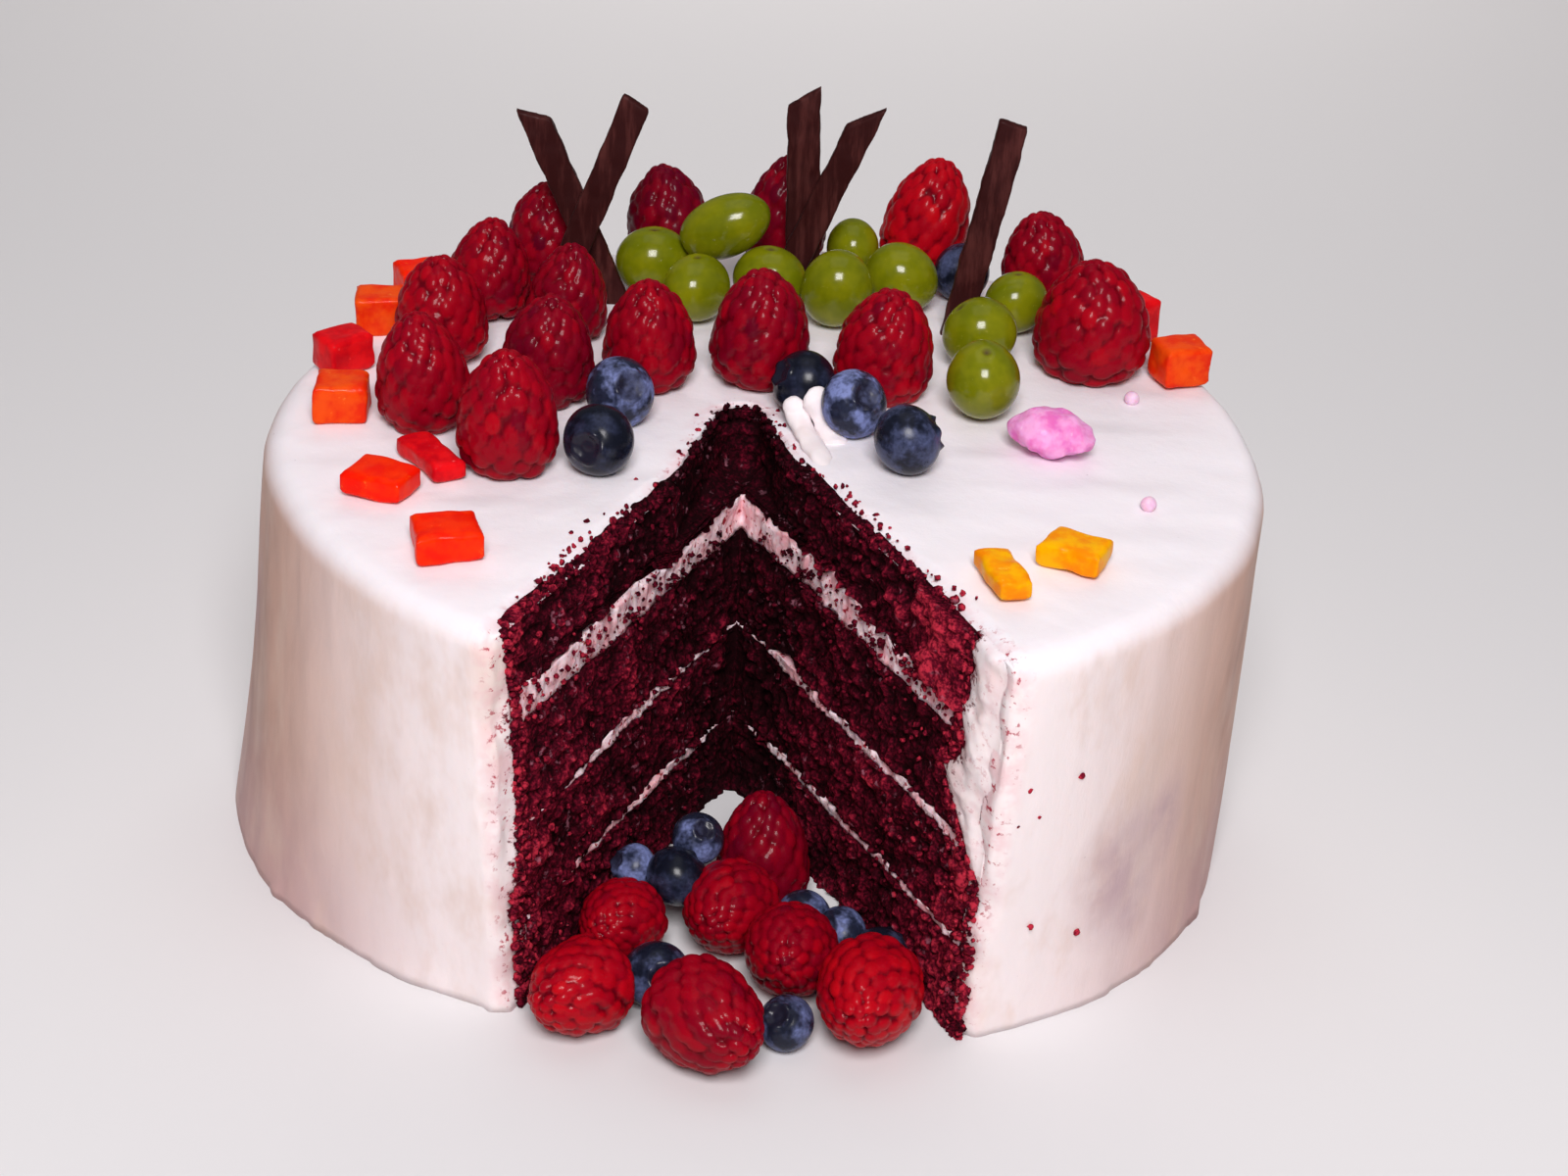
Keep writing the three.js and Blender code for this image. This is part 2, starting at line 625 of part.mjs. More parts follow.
// The heap of fruit in the cut: a low mound with each berry fused to it, flat where it rests.
function makeCutBerries() {
  const humps = MOUND.map(([x, y, halfWidth, halfLength, height]) => {
    const hump = new THREE.IcosahedronGeometry(1, 1).scale(halfWidth, halfLength, height);
    return solidOf(hump.translate(x, y, 0));
  });
  let heap = humps.reduce((sum, hump) => sum.add(hump));
  for (const [x, y, width, height, degrees, heading] of CUT_RASPBERRIES) {
    const berry = new THREE.Mesh(raspberryGeometry(width, height));
    lean(berry, degrees, heading);
    seat(berry, x, y, -BERRY_FLAT);
    heap = heap.add(placedSolid(berry));
  }
  for (const [x, y, z, radius, degrees, heading] of CUT_BLUEBERRIES) {
    const berry = new THREE.Mesh(blueberryGeometry(radius, HEAP_BERRY_SIDES));
    lean(berry, degrees, heading);
    berry.position.set(x, y, z);
    heap = heap.add(placedSolid(berry));
  }
  const below = new THREE.BoxGeometry(2 * CAKE_RADIUS, 2 * CAKE_RADIUS, CAKE_RADIUS);
  below.translate(0, -CAKE_RADIUS / 2, -CAKE_RADIUS / 2);
  return makeMesh("cut_berries", geometryOf(heap.subtract(solidOf(below))), "raspberry", 0.45);
}

const cake = new THREE.Group();
cake.add(makeLayers());
cake.add(makeIcing());
cake.add(makeBerries());
cake.add(makeGrapes());
cake.add(makeSticks());
cake.add(makeSweets());
cake.add(makeCutBerries());

export default cake;
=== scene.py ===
import json
import math

import bmesh
import bpy
import numpy as np
from mathutils import Matrix, Vector


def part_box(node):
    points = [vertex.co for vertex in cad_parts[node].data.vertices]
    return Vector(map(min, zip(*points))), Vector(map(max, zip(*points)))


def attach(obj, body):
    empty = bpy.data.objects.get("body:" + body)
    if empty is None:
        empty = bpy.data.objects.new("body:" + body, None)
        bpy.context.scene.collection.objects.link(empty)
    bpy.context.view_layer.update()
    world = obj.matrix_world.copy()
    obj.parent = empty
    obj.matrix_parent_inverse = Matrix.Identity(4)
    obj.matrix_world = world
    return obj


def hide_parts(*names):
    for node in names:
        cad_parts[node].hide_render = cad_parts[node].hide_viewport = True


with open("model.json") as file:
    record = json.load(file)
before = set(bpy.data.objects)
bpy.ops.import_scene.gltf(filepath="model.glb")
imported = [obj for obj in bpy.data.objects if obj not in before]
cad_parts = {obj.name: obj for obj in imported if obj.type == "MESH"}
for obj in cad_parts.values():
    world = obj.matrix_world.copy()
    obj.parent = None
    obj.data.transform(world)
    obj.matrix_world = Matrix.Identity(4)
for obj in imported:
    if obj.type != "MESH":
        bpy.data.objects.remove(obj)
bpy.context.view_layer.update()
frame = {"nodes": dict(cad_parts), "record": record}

# A red velvet cake with a wedge cut out of it. Lengths are millimetres, and angles radians unless they
# are named as degrees.
MM = 0.001
ROOT = "root"

# Driving dimensions, the same as the solids have.
SPONGE_RADIUS = 101.5
CAKE_RADIUS = 108.0
BORE_GAP = 0.6
ICING_EDGE_ROUND = 5.0
CUT_TIP = np.array([-5.5, 3.5])
CUT_RIGHT = math.radians(-61)
CUT_LEFT = math.radians(245)
# The two cuts: heading, and which way round from it the gap lies.
CUTS = ((CUT_RIGHT, -1), (CUT_LEFT, 1))
# The blunt hollow that is torn at the cut's tip.
TORN_MIDDLE = np.array([-6.6, 6.0])
TORN_RADIUS = 5.5
TORN_FLARE = math.radians(13.5)
TORN_FLOOR = 77.0
TORN_LONGEST = 8 * TORN_RADIUS
# The foot's flare and tuck, and the waves of the side.
FOOT_FLARE = 13.0
FLARE_HEADING = math.pi
FOOT_TUCK = 12.0
TUCK_HEADING = math.radians(-100)
SIDE_WAVE = 0.7
WAVES_ROUND = 5
WAVE_RISE = 19.0

# How finely the icing, the layers, the torn hollow and the sweets are divided.
ICING_STEPS = 340
ICING_SIDE_ROWS = 40
ICING_EDGE_ROWS = 6
ICING_TOP_ROWS = 40
ICING_CAP_COLUMNS = 8
CLOSER_BY_CUTS = 0.09
CUT_STEP = 0.5
RIM_STEPS = 60
TORN_STEPS = 120
TORN_SAMPLES = 2000
REMESH_STEP = 0.5
# How finely round things are divided: round them, and from pole to pole.
RASPBERRY_GRID = (100, 60)
BLUEBERRY_GRID = (56, 44)
GRAPE_GRID = (56, 40)
PEARL_GRID = (24, 16)
CRUMB_GRID = (6, 4)
# Seeds of the random draws.
RASPBERRY_SEED = 11
BLUEBERRY_SEED = 12
GRAPE_SEED = 13
CUT_BERRY_SEED = 14
CRUMB_SEED = 15
PEARL_SEED = 16

# Layers from the foot up.
LAYERS = ("sponge_1", "cream_1", "sponge_2", "cream_2", "sponge_3", "cream_3", "sponge_4")
TOPMOST = len(LAYERS) - 1
TOP_CREAM = TOPMOST - 1

# How far the icing's edge is torn back along a cut, and over what depth.
RAGGED_DEPTH = 2.8
RAGGED_REACH = 8.0
# How far the icing's edge stays back from the torn hollow, and how far it wavers there.
TORN_LIP = 0.7
# How far the icing is rounded off where a cut runs through it, and over what depth.
CORNER_DROP = 1.8
CORNER_REACH = 4.5

# Where the icing is thin and the crumb shows through: angle in degrees, height, radius.
THIN_PATCHES = (
    (-44, 34, 12), (-36, 40, 8), (-40, 22, 7), (-172, 62, 12), (165, 40, 16), (60, 30, 14), (110, 52, 10),
)
# Crumbs that stick to the icing's side: angle in degrees and height.
SIDE_CRUMBS = ((-59.3, 64.7), (-52.4, 64.0), (-57.5, 57.0), (-60.0, 56.0), (-56.0, 28.0), (-49.0, 22.0))
# How many crumbs lie on each cut face, on its uppermost cream and on the ground below.
FACE_CRUMBS = 300
CREAM_CRUMBS = 110
GROUND_CRUMBS = 24
# How many lie along each cut's top edge, down its rim and on the icing beside it.
EDGE_CRUMBS = 260
RIM_CRUMBS = 520
STRAY_CRUMBS = 30
# How many lie round the torn tip, and on the icing beyond it.
TIP_CRUMBS = 170
TIP_STRAYS = 14
# Sugar pearls: x and y, their radius, and how high their centres are over the icing.
PEARLS = ((81.4, 23.1), (80.1, -28.8))
PEARL_RADIUS = 1.7
PEARL_RISE = 1.1
# Two lobes of icing smeared over a blueberry and down to the top: half width, and points along each.
LOBES = (
    (2.6, (
        (4.2, 3.0, 102.6), (4.8, 2.6, 100.8), (5.4, 2.0, 98.8), (6.4, 0.2, 97.2),
        (8.2, -4.4, 96.0), (10.8, -11.0, 95.4), (13.2, -17.0, 93.4),
    )),
    (3.1, (
        (8.0, 2.7, 104.4), (9.2, 2.3, 102.8), (10.6, 2.0, 100.8), (12.0, 1.2, 98.6),
        (13.2, -0.6, 96.6), (14.4, -4.6, 94.6),
    )),
)
LOBE_ROWS = 40
LOBE_SIDES = 20
# How far the uppermost cream is smeared over the crumb above and below it.
SMEAR = 2.2
# Over what reaches from the tip the lower creams set in, and over which they thin out on the left.
FADE_AT_TIP = (10, 24)
FADE_ON_LEFT = (66, 84)
# How far crumb is dragged up over the icing at a cut.
TOP_RISE = 1.2
# The torn chunk of the topmost sponge on the right cut: its distance from the tip, half length and depth.
CHUNK_MIDDLE = 86.5
CHUNK_HALF = 13.0
CHUNK_DEPTH = 2.6
# Icing that the knife dragged over the crumb at the outer end of the right cut: heights, and how far it
# reaches in at each. The left cut is clean.
DRAGGED = ((40, 47, 54, 60, 66, 74, 92), (0, 3, 8, 14, 11, 9, 10))
CLEAN = ((0, 92), (0, 0))
DRAGS = (DRAGGED, CLEAN)
# The radii between which the icing's own edge turns from torn to whole where icing is dragged.
DRAG_RIM = (86, 100)
# The dragged icing: how thick it is, how deep its front and back lie in the crumb, how far it runs on beyond
# the crumb and stays below the top, how far its upper edge is rounded, and how finely it is divided.
DRAG_THICK = 2.1
DRAG_SUNK = 0.5
DRAG_BACK = 2.0
DRAG_OVERLAP = 3.5
DRAG_TOP_GAP = 1.4
DRAG_ROUND = 2.5
DRAG_COLUMNS = 24
DRAG_ROWS = 90

# How deep the berries on top sit in the icing.
RASPBERRY_SINK = 0.8
BLUEBERRY_SINK = 0.6
# How each raspberry on top leans: degrees off upright, heading in degrees, and how bright it is.
RASPBERRY_POSES = (
    (6, 200, 0.0), (8, 270, 0.0), (5, 120, 0.05), (6, 60, -0.05), (4, 320, -0.2),
    (5, 30, -0.15), (6, 100, -0.15), (6, 250, -0.05), (4, 290, -0.1), (7, 310, 0.0),
    (8, 170, -0.3), (5, 60, -0.25), (12, 20, 0.25), (10, 200, -0.1), (8, 250, 0.0),
)
# Where each blueberry's crown points, in degrees off upright and heading, and how much bloom it has.
BLUEBERRY_POSES = (
    (55, 300, 1.3), (80, 250, 0.12), (60, 200, 0.1), (50, 300, 1.5), (75, 10, 0.35), (90, 100, 0.4),
)
# Raspberries in the cut: x, y, width, height, lean, heading, brightness.
CUT_RASPBERRIES = (
    (3, -42, 20.5, 27, 10, 100, -0.2), (-4.3, -63, 20, 22, 75, 250, 0.0),
    (-27.3, -67, 17.5, 19, 70, 240, 0.05), (-34.5, -92, 20, 22, 80, 230, 0.18),
    (-6, -101, 22, 27, 85, 310, -0.05), (9.3, -77.5, 19.5, 22, 65, 260, -0.05),
    (25.5, -92, 22, 26, 75, 260, 0.2),
)
# Blueberries in the cut: x, y, height of the centre, radius, lean, heading, bloom.
CUT_BLUEBERRIES = (
    (-11.3, -47, 18.9, 5.8, 35, 300, 1.1), (-15.6, -56.5, 15.2, 6.7, 70, 40, 0.2),
    (-25, -51.5, 13.6, 5.2, 60, 200, 1.2), (-18.3, -80.5, 6.6, 7.2, 60, 290, 0.5),
    (9.3, -93, 5.8, 5.9, 40, 230, 0.7), (12.5, -57, 6, 6.3, 60, 240, 0.9),
    (20.2, -61.5, 5.8, 6, 50, 220, 1.2), (29, -72.5, 9.5, 5.8, 70, 60, 0.3),
)
# A raspberry's drupelets: the range of their number, how unevenly they are packed, and how far they bulge.
DRUPELETS = (118, 138)
DRUPELET_SCATTER = 0.036
DRUPELET_BULGE = 0.1
GOLDEN_ANGLE = math.pi * (3 - math.sqrt(5))
# A blueberry's crown: its angle from the pole, how far its rim rises and how far its hollow sinks.
CROWN_SLOPE = 0.43
CROWN_RIM = 0.11
CROWN_HOLLOW = 0.17
# How high a blueberry is, as a share of its width.
BLUEBERRY_FLATNESS = 0.88
# How deep a grape is dimpled at its stem, as a share of its radius.
GRAPE_DIMPLE = 0.07
# How far the faces of sticks, dice and candy are pushed about, and how large the bumps are.
STICK_RELIEF = (0.22, 4)
DICE_RELIEF = (0.35, 5)
CANDY_RELIEF = (0.7, 4)

# The stage: half the floor's width, the light of the room, and what the lamps are aimed at.
FLOOR_HALF = 6000
ROOM_COLOUR = (0.95, 0.96, 1.0)
ROOM_LIGHT = 0.12
LAMP_TARGET = np.array([0, 0, 50])
# Lamps: name, place, width, power in watts, colour, and whether gloss mirrors them.
LAMPS = (
    ("key", (30, -800, 850), 400, 12, (1.0, 0.97, 0.98), True),
    ("top", (0, 150, 1200), 900, 1.2, (1.0, 0.98, 1.0), True),
    ("back", (0, 950, 500), 800, 4.0, (1.0, 0.95, 0.92), False),
)
# The camera: where it stands, how far down and aside it looks, how far it is tilted, and its lens.
CAMERA_PLACE = np.array([0, -541, 360])
CAMERA_PITCH = 0.512
CAMERA_YAW = 0.009
CAMERA_ROLL = 0.054
CAMERA_LENS = 63
SENSOR_WIDTH = 36


def node_box(name):
    """A node's lowest and highest corners in millimetres."""
    low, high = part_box(name)
    return np.array(low) / MM, np.array(high) / MM


def nodes_of(kind):
    """The names of the nodes of one kind, by their numbers."""
    numbers = [name.rsplit("_", 1)[1] for name in frame["nodes"] if name.rsplit("_", 1)[0] == kind]
    return [f"{kind}_{number}" for number in sorted(map(int, numbers))]


CAKE_TOP = node_box("icing")[1][2]
ICING_UNDERSIDE = node_box("sponge_4")[1][2]


# Noise

def lattice_value(cells):
    """A fixed value from -1 to 1 for each point of a whole-number lattice."""
    keys = cells.astype(np.int64) @ np.array([374761393, 668265263, 1274126177])
    keys &= 0xFFFFFFFF
    keys = ((keys ^ (keys >> 13)) * 1274126177) & 0xFFFFFFFF
    keys ^= keys >> 16
    return keys / 2147483648.0 - 1.0


def noise(points, size, seed=0):
    """Smooth noise from -1 to 1 with lumps about size across."""
    cells = points / size + 31.7 * (seed + 1)
    base = np.floor(cells)
    part = cells - base
    part = part * part * (3 - 2 * part)
    total = np.zeros(len(points))
    for corner in np.ndindex(2, 2, 2):
        weight = np.prod(np.where(np.array(corner) == 1, part, 1 - part), axis=1)
        total += weight * lattice_value(base + np.array(corner))
    return total


def fractal(points, size, octaves, seed=0):
    """Noise of several sizes, each half as large and half as strong as the one before."""
    total = np.zeros(len(points))
    for octave in range(octaves):
        total += noise(points, size / 2 ** octave, seed + octave) / 2 ** octave
    return total


def ease(values, low, high):
    """A smooth step from 0 at low to 1 at high."""
    share = np.clip((values - low) / (high - low), 0, 1)
    return share * share * (3 - 2 * share)


def flat(xy):
    """Points of a plane as points of space."""
    return np.column_stack([xy, np.zeros(len(xy))])


# Meshes

def grid_faces(rows, columns, start=0):
    """Quads over a grid of points that are stored row by row."""
    row, column = np.meshgrid(np.arange(rows - 1), np.arange(columns - 1), indexing="ij")
    corner = (start + row * columns + column).ravel()
    return np.stack([corner, corner + 1, corner + columns + 1, corner + columns], axis=1).tolist()


def ring_faces(rings, count, start=0):
    """Quads between closed rings of points that are stored ring by ring."""
    ring, step = np.meshgrid(np.arange(rings - 1), np.arange(count), indexing="ij")
    here = (start + ring * count + step).ravel()
    beside = (start + ring * count + (step + 1) % count).ravel()
    return np.stack([here, beside, beside + count, here + count], axis=1).tolist()


def tube_faces(rings, count):
    """Quads between closed rings, with a face over each end."""
    faces = ring_faces(rings, count)
    faces.append(list(range(count))[::-1])
    faces.append(list(range((rings - 1) * count, rings * count)))
    return faces


def ball_grid(segments, rings):
    """Directions over a ball and its faces, with the poles on the Z axis."""
    rise = -np.cos(np.pi * np.arange(1, rings) / rings)
    turn = 2 * np.pi * np.arange(segments) / segments
    out = np.sqrt(1 - rise ** 2)
    around = np.stack([
        np.outer(out, np.cos(turn)), np.outer(out, np.sin(turn)), np.outer(rise, np.ones(segments)),
    ], axis=2).reshape(-1, 3)
    points = np.vstack([[0, 0, -1], around, [0, 0, 1]])
    faces = ring_faces(rings - 1, segments, 1)
    last = len(points) - 1
    for step in range(segments):
        following = (step + 1) % segments
        faces.append([0, 1 + following, 1 + step])
        faces.append([last, last - segments + step, last - segments + following])
    return points, faces


def weld(mesh):
    """Joins points that coincide and turns every face outwards."""
    work = bmesh.new()
    work.from_mesh(mesh)
    bmesh.ops.remove_doubles(work, verts=work.verts, dist=0.001 * MM)
    bmesh.ops.recalc_face_normals(work, faces=work.faces)
    work.to_mesh(mesh)
    work.free()


def add_values(mesh, values):
    """Stores named numbers on a mesh's points, one for all or one for each, for its material to read."""
    for name, numbers in values.items():
        layer = mesh.attributes.new(name, "FLOAT", "POINT")
        layer.data.foreach_set("value", (np.zeros(len(mesh.vertices)) + numbers).astype(np.float32))


def show(name, shape, material, slot, nodes=()):
    """Makes a piece of the cake from points, faces and values, and hides the nodes that it stands for."""
    points, faces, values = shape
    mesh = bpy.data.meshes.new(name)
    mesh.from_pydata((points * MM).tolist(), [], faces)
    add_values(mesh, values)
    weld(mesh)
    mesh.shade_smooth()
    mesh.materials.append(material)
    piece = bpy.data.objects.new(name, mesh)
    bpy.context.scene.collection.objects.link(piece)
    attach(piece, ROOT)
    if nodes:
        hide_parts(*nodes)


def fit_to_box(points, low, high):
    """Moves and scales points so that they fill a box."""
    floor = points.min(axis=0)
    size = points.max(axis=0) - floor
    return low + (points - floor) / size * (high - low)


def leaning(lean_degrees, heading_degrees, spin):
    """The turn that tips the Z axis over by a lean towards a heading, after a spin about it."""
    heading = math.radians(heading_degrees)
    turn = Matrix.Rotation(heading, 3, "Z") @ Matrix.Rotation(math.radians(lean_degrees), 3, "Y")
    return np.array(turn @ Matrix.Rotation(spin - heading, 3, "Z"))


def join(parts):
    """Points, faces and values of several shapes as those of one."""
    points = np.vstack([part[0] for part in parts])
    faces = []
    start = 0
    for part in parts:
        faces += [[start + index for index in face] for face in part[1]]
        start += len(part[0])
    values = {name: np.concatenate([part[2][name] for part in parts]) for name in parts[0][2]}
    return points, faces, values


def lengths_along(path):
    """How far along a path each of its points lies."""
    steps = np.linalg.norm(np.diff(path, axis=0), axis=1)
    return np.concatenate([[0], np.cumsum(steps)])


# Materials

class Shader:
    """A material's nodes, with short ways to add textures and link them."""

    def __init__(self, name, **settings):
        self.material = bpy.data.materials.new(name)
        self.material.use_nodes = True
        self.nodes = self.material.node_tree.nodes
        self.links = self.material.node_tree.links
        self.surface = self.nodes["Principled BSDF"]
        self.place = self.nodes.new("ShaderNodeTexCoord").outputs["Object"]
        for setting, value in settings.items():
            self.feed(setting.replace("_", " "), value)

    def fill(self, socket, value):
        """Sets a socket to a number or a colour, or links another socket to it."""
        if isinstance(value, bpy.types.NodeSocket):
            self.links.new(value, socket)
        elif socket.type == "RGBA":
            socket.default_value = (*value, 1)
        else:
            socket.default_value = value

    def feed(self, name, value):
        """Sets one of the surface's sockets, or links a texture to it."""
        self.fill(self.surface.inputs[name], value)

    def add(self, kind, inputs, **settings):
        """A new node with its settings, and with its inputs filled by name or number."""
        node = self.nodes.new("ShaderNode" + kind)
        for name, value in settings.items():
            setattr(node, name, value)
        for name, value in inputs.items():
            self.fill(node.inputs[name], value)
        return node

    def noise(self, size, detail=3.0, roughness=0.5, stretch=(1, 1, 1)):
        """Noise from 0 to 1 with lumps about size across, stretched along the axes."""
        scale = [1 / (size * MM * factor) for factor in stretch]
        place = self.add("Mapping", {"Vector": self.place, "Scale": scale}).outputs["Vector"]
        inputs = {"Vector": place, "Scale": 1.0, "Detail": detail, "Roughness": roughness}
        return self.add("TexNoise", inputs).outputs["Fac"]

    def values(self, name):
        """Numbers that are stored on the mesh."""
        return self.add("Attribute", {}, attribute_name=name).outputs["Fac"]

    def ramp(self, factor, *stops):
        """Colours along a factor: each stop is a position and a colour."""
        node = self.add("ValToRGB", {"Fac": factor})
        elements = node.color_ramp.elements
        while len(elements) < len(stops):
            elements.new(0.5)
        for element, (position, colour) in zip(elements, stops):
            element.position = position
            element.color = (*colour, 1)
        return node.outputs["Color"]

    def range(self, factor, low, high, start=0.0, end=1.0):
        """A factor's stretch from low to high, as a number from start to end."""
        inputs = {"Value": factor, "From Min": low, "From Max": high, "To Min": start, "To Max": end}
        return self.add("MapRange", inputs, interpolation_type="SMOOTHSTEP").outputs["Result"]

    def maths(self, operation, first, second):
        """Two numbers put together."""
        return self.add("Math", {0: first, 1: second}, operation=operation).outputs["Value"]

    def mix(self, factor, first, second):
        """Two colours mixed by a factor; each is a colour or a socket."""
        return self.add("Mix", {0: factor, 6: first, 7: second}, data_type="RGBA").outputs[2]

    def finished(self, colour, height, strength, distance):
        """The material, with its colour and with fine relief from a texture."""
        inputs = {"Height": height, "Strength": strength, "Distance": distance * MM}
        self.feed("Base Color", colour)
        self.feed("Normal", self.add("Bump", inputs).outputs["Normal"])
        return self.material


def icing_material():
    """Icing: white on top and by the cuts, with tan painted shade at the sides that gives way to pale
    behind, mauve where low or thin.
    """
    shader = Shader(
        "icing", Specular_IOR_Level=0.15,
        Subsurface_Weight=0.15, Subsurface_Scale=3 * MM, Subsurface_Radius=(1.0, 0.7, 0.55),
    )
    # Painted shade: the tan of the sides, in two tones streaked up and down, stands in for the shade where
    # the sides turn away from the front light.
    strokes = shader.range(shader.noise(26, 4, 0.6, (1, 1, 3)), 0.35, 0.7)
    side_shade = shader.mix(strokes, (0.69, 0.43, 0.34), (0.52, 0.31, 0.25))
    low = shader.range(shader.values("height"), 0.5, 0.0, 0.0, 0.5)
    side_shade = shader.mix(low, side_shade, (0.58, 0.36, 0.4))
    # The painted shade fades out behind, to a pale cream.
    back = shader.range(shader.values("cut"), 86, 120, 0.0, 0.85)
    side_shade = shader.mix(back, side_shade, (0.92, 0.83, 0.8))
    # The painted shade gives way to white near the cuts, which face the front light.
    white = shader.range(shader.values("cut"), 72, 8)
    side = shader.mix(white, side_shade, (0.94, 0.83, 0.83))
    stain = shader.range(shader.noise(17, 4, 0.65, (1, 1, 2)), 0.46, 0.72, 0.0, 0.5)
    side = shader.mix(stain, side, (0.72, 0.52, 0.43))
    smudge = shader.range(shader.noise(16, 4, 0.6), 0.3, 0.7, 0.15, 0.8)
    side = shader.mix(shader.maths("MULTIPLY", shader.values("thin"), smudge), side, (0.5, 0.34, 0.38))
    top = shader.range(shader.values("height"), 0.94, 1.0)
    colour = shader.mix(top, side, (0.92, 0.86, 0.9))
    blush = shader.range(shader.values("cut"), 6, 0, 0.0, 0.45)
    blush = shader.maths("MULTIPLY", blush, shader.range(shader.noise(6, 3, 0.6), 0.4, 0.62))
    colour = shader.mix(blush, colour, (0.8, 0.4, 0.44))
    crumb = shader.range(shader.noise(2.0, 4, 0.65), 0.57, 0.66)
    near = shader.range(shader.values("cut"), 4.5, 0.5)
    colour = shader.mix(shader.maths("MULTIPLY", crumb, near), colour, (0.45, 0.04, 0.07))
    dragged = shader.maths("ADD", shader.noise(2.4, 4, 0.65, (1, 1, 0.6)), shader.values("inner"))
    colour = shader.mix(shader.range(dragged, 0.72, 0.86), colour, (0.13, 0.004, 0.014))
    shader.feed("Roughness", shader.range(shader.noise(9, 2), 0.2, 0.8, 0.45, 0.65))
    return shader.finished(colour, shader.noise(2.6, 4, 0.6, (1, 1, 2.5)), 0.3, 0.5)


def sponge_material():
    """Red velvet crumb with pale specks, with painted shade that turns it nearly black in its pits and near
    the torn tip, and painted light that makes it red where it stands out, at the outer ends of the cuts and
    on the torn chunk.
    """
    shader = Shader("sponge", Roughness=0.9, Specular_IOR_Level=0.05)
    # Painted light and shade: the relief and the edge value turn the crumb nearly black in its pits and near
    # the torn tip, and red on its lumps, at the outer ends of the cuts and on the torn chunk.
    relief = shader.maths("ADD", shader.values("relief"), shader.values("edge"))
    grain = shader.range(shader.noise(0.9, 3, 0.65), 0.3, 0.7, -0.28, 0.28)
    colour = shader.ramp(
        shader.maths("ADD", relief, grain),
        (0.1, (0.011, 0.0012, 0.0025)), (0.42, (0.045, 0.0016, 0.007)),
        (0.72, (0.16, 0.005, 0.019)), (1.0, (0.48, 0.025, 0.05)),
    )
    clusters = shader.range(shader.noise(12, 3, 0.6), 0.48, 0.6)
    specks = shader.range(shader.noise(2.2, 3, 0.6), 0.6, 0.7, 0.0, 0.7)
    colour = shader.mix(shader.maths("MULTIPLY", clusters, specks), colour, (0.36, 0.13, 0.18))
    return shader.finished(colour, shader.noise(0.8, 4, 0.7), 0.6, 0.5)


def cream_material():
    """Cream filling, tinted and speckled by the crumb."""
    shader = Shader(
        "cream", Roughness=0.6, Specular_IOR_Level=0.2, Subsurface_Weight=0.15, Subsurface_Scale=2 * MM,
    )
    stain = shader.range(shader.noise(5, 4, 0.6), 0.4, 0.64)
    colour = shader.mix(stain, (0.98, 0.76, 0.8), (0.85, 0.42, 0.46))
    speck = shader.range(shader.noise(1.6, 3, 0.6), 0.57, 0.66)
    colour = shader.mix(speck, colour, (0.36, 0.012, 0.03))
    return shader.finished(colour, shader.noise(1.2, 4, 0.6), 0.4, 0.4)


def raspberry_material():
    """Raspberry: crimson drupelets with small glints, and painted shade between them."""
    shader = Shader(
        "raspberry", Roughness=0.4, Specular_IOR_Level=0.04, Coat_Weight=0.14, Coat_Roughness=0.1,
        Subsurface_Weight=0.12, Subsurface_Scale=1.5 * MM, Subsurface_Radius=(1.0, 0.1, 0.1),
    )
    body = shader.ramp(
        shader.values("tone"),
        (0.0, (0.11, 0.0005, 0.011)), (0.5, (0.36, 0.001, 0.009)), (1.0, (0.66, 0.004, 0.008)),
    )
    # Painted shade in the gaps between the drupelets.
    crevice_shade = shader.range(shader.values("crevice_shade"), 0.75, 1.25)
    colour = shader.mix(crevice_shade, body, (0.13, 0.0005, 0.006))
    return shader.finished(colour, shader.noise(0.8, 3), 0.25, 0.25)


def blueberry_material():
    """Blueberry: blue-black skin under a pale, rubbed bloom."""
    shader = Shader("blueberry", Roughness=0.45, Specular_IOR_Level=0.25)
    patches = shader.range(shader.noise(6, 3, 0.6), 0.42, 0.66, 0.06, 1.0)
    grains = shader.range(shader.noise(0.9, 3, 0.6), 0.3, 0.7, 0.5, 1.0)
    bloom = shader.maths("MULTIPLY", shader.maths("MULTIPLY", patches, grains), shader.values("bloom"))
    colour = shader.mix(bloom, (0.004, 0.005, 0.011), (0.19, 0.23, 0.48))
    colour = shader.mix(shader.values("crown"), colour, (0.014, 0.012, 0.024))
    shader.feed("Roughness", shader.range(bloom, 0.0, 0.8, 0.25, 0.6))
    return shader.finished(colour, shader.noise(1.0, 3), 0.12, 0.2)


def grape_material():
    """Green grape: glossy skin that light shines into."""
    shader = Shader(
        "grape", Roughness=0.16, Specular_IOR_Level=0.25, Coat_Weight=0.15, Coat_Roughness=0.08,
        Subsurface_Weight=0.5, Subsurface_Scale=6 * MM, Subsurface_Radius=(0.9, 1.0, 0.2),
    )
    clouds = shader.range(shader.noise(8, 3, 0.6), 0.3, 0.7)
    colour = shader.mix(clouds, (0.14, 0.16, 0.002), (0.225, 0.23, 0.004))
    freckles = shader.range(shader.noise(1.1, 2), 0.68, 0.76, 0.0, 0.6)
    colour = shader.mix(freckles, colour, (0.28, 0.27, 0.03))
    colour = shader.mix(shader.values("scar"), colour, (0.1, 0.06, 0.02))
    return shader.finished(colour, shader.noise(3, 3), 0.06, 0.3)


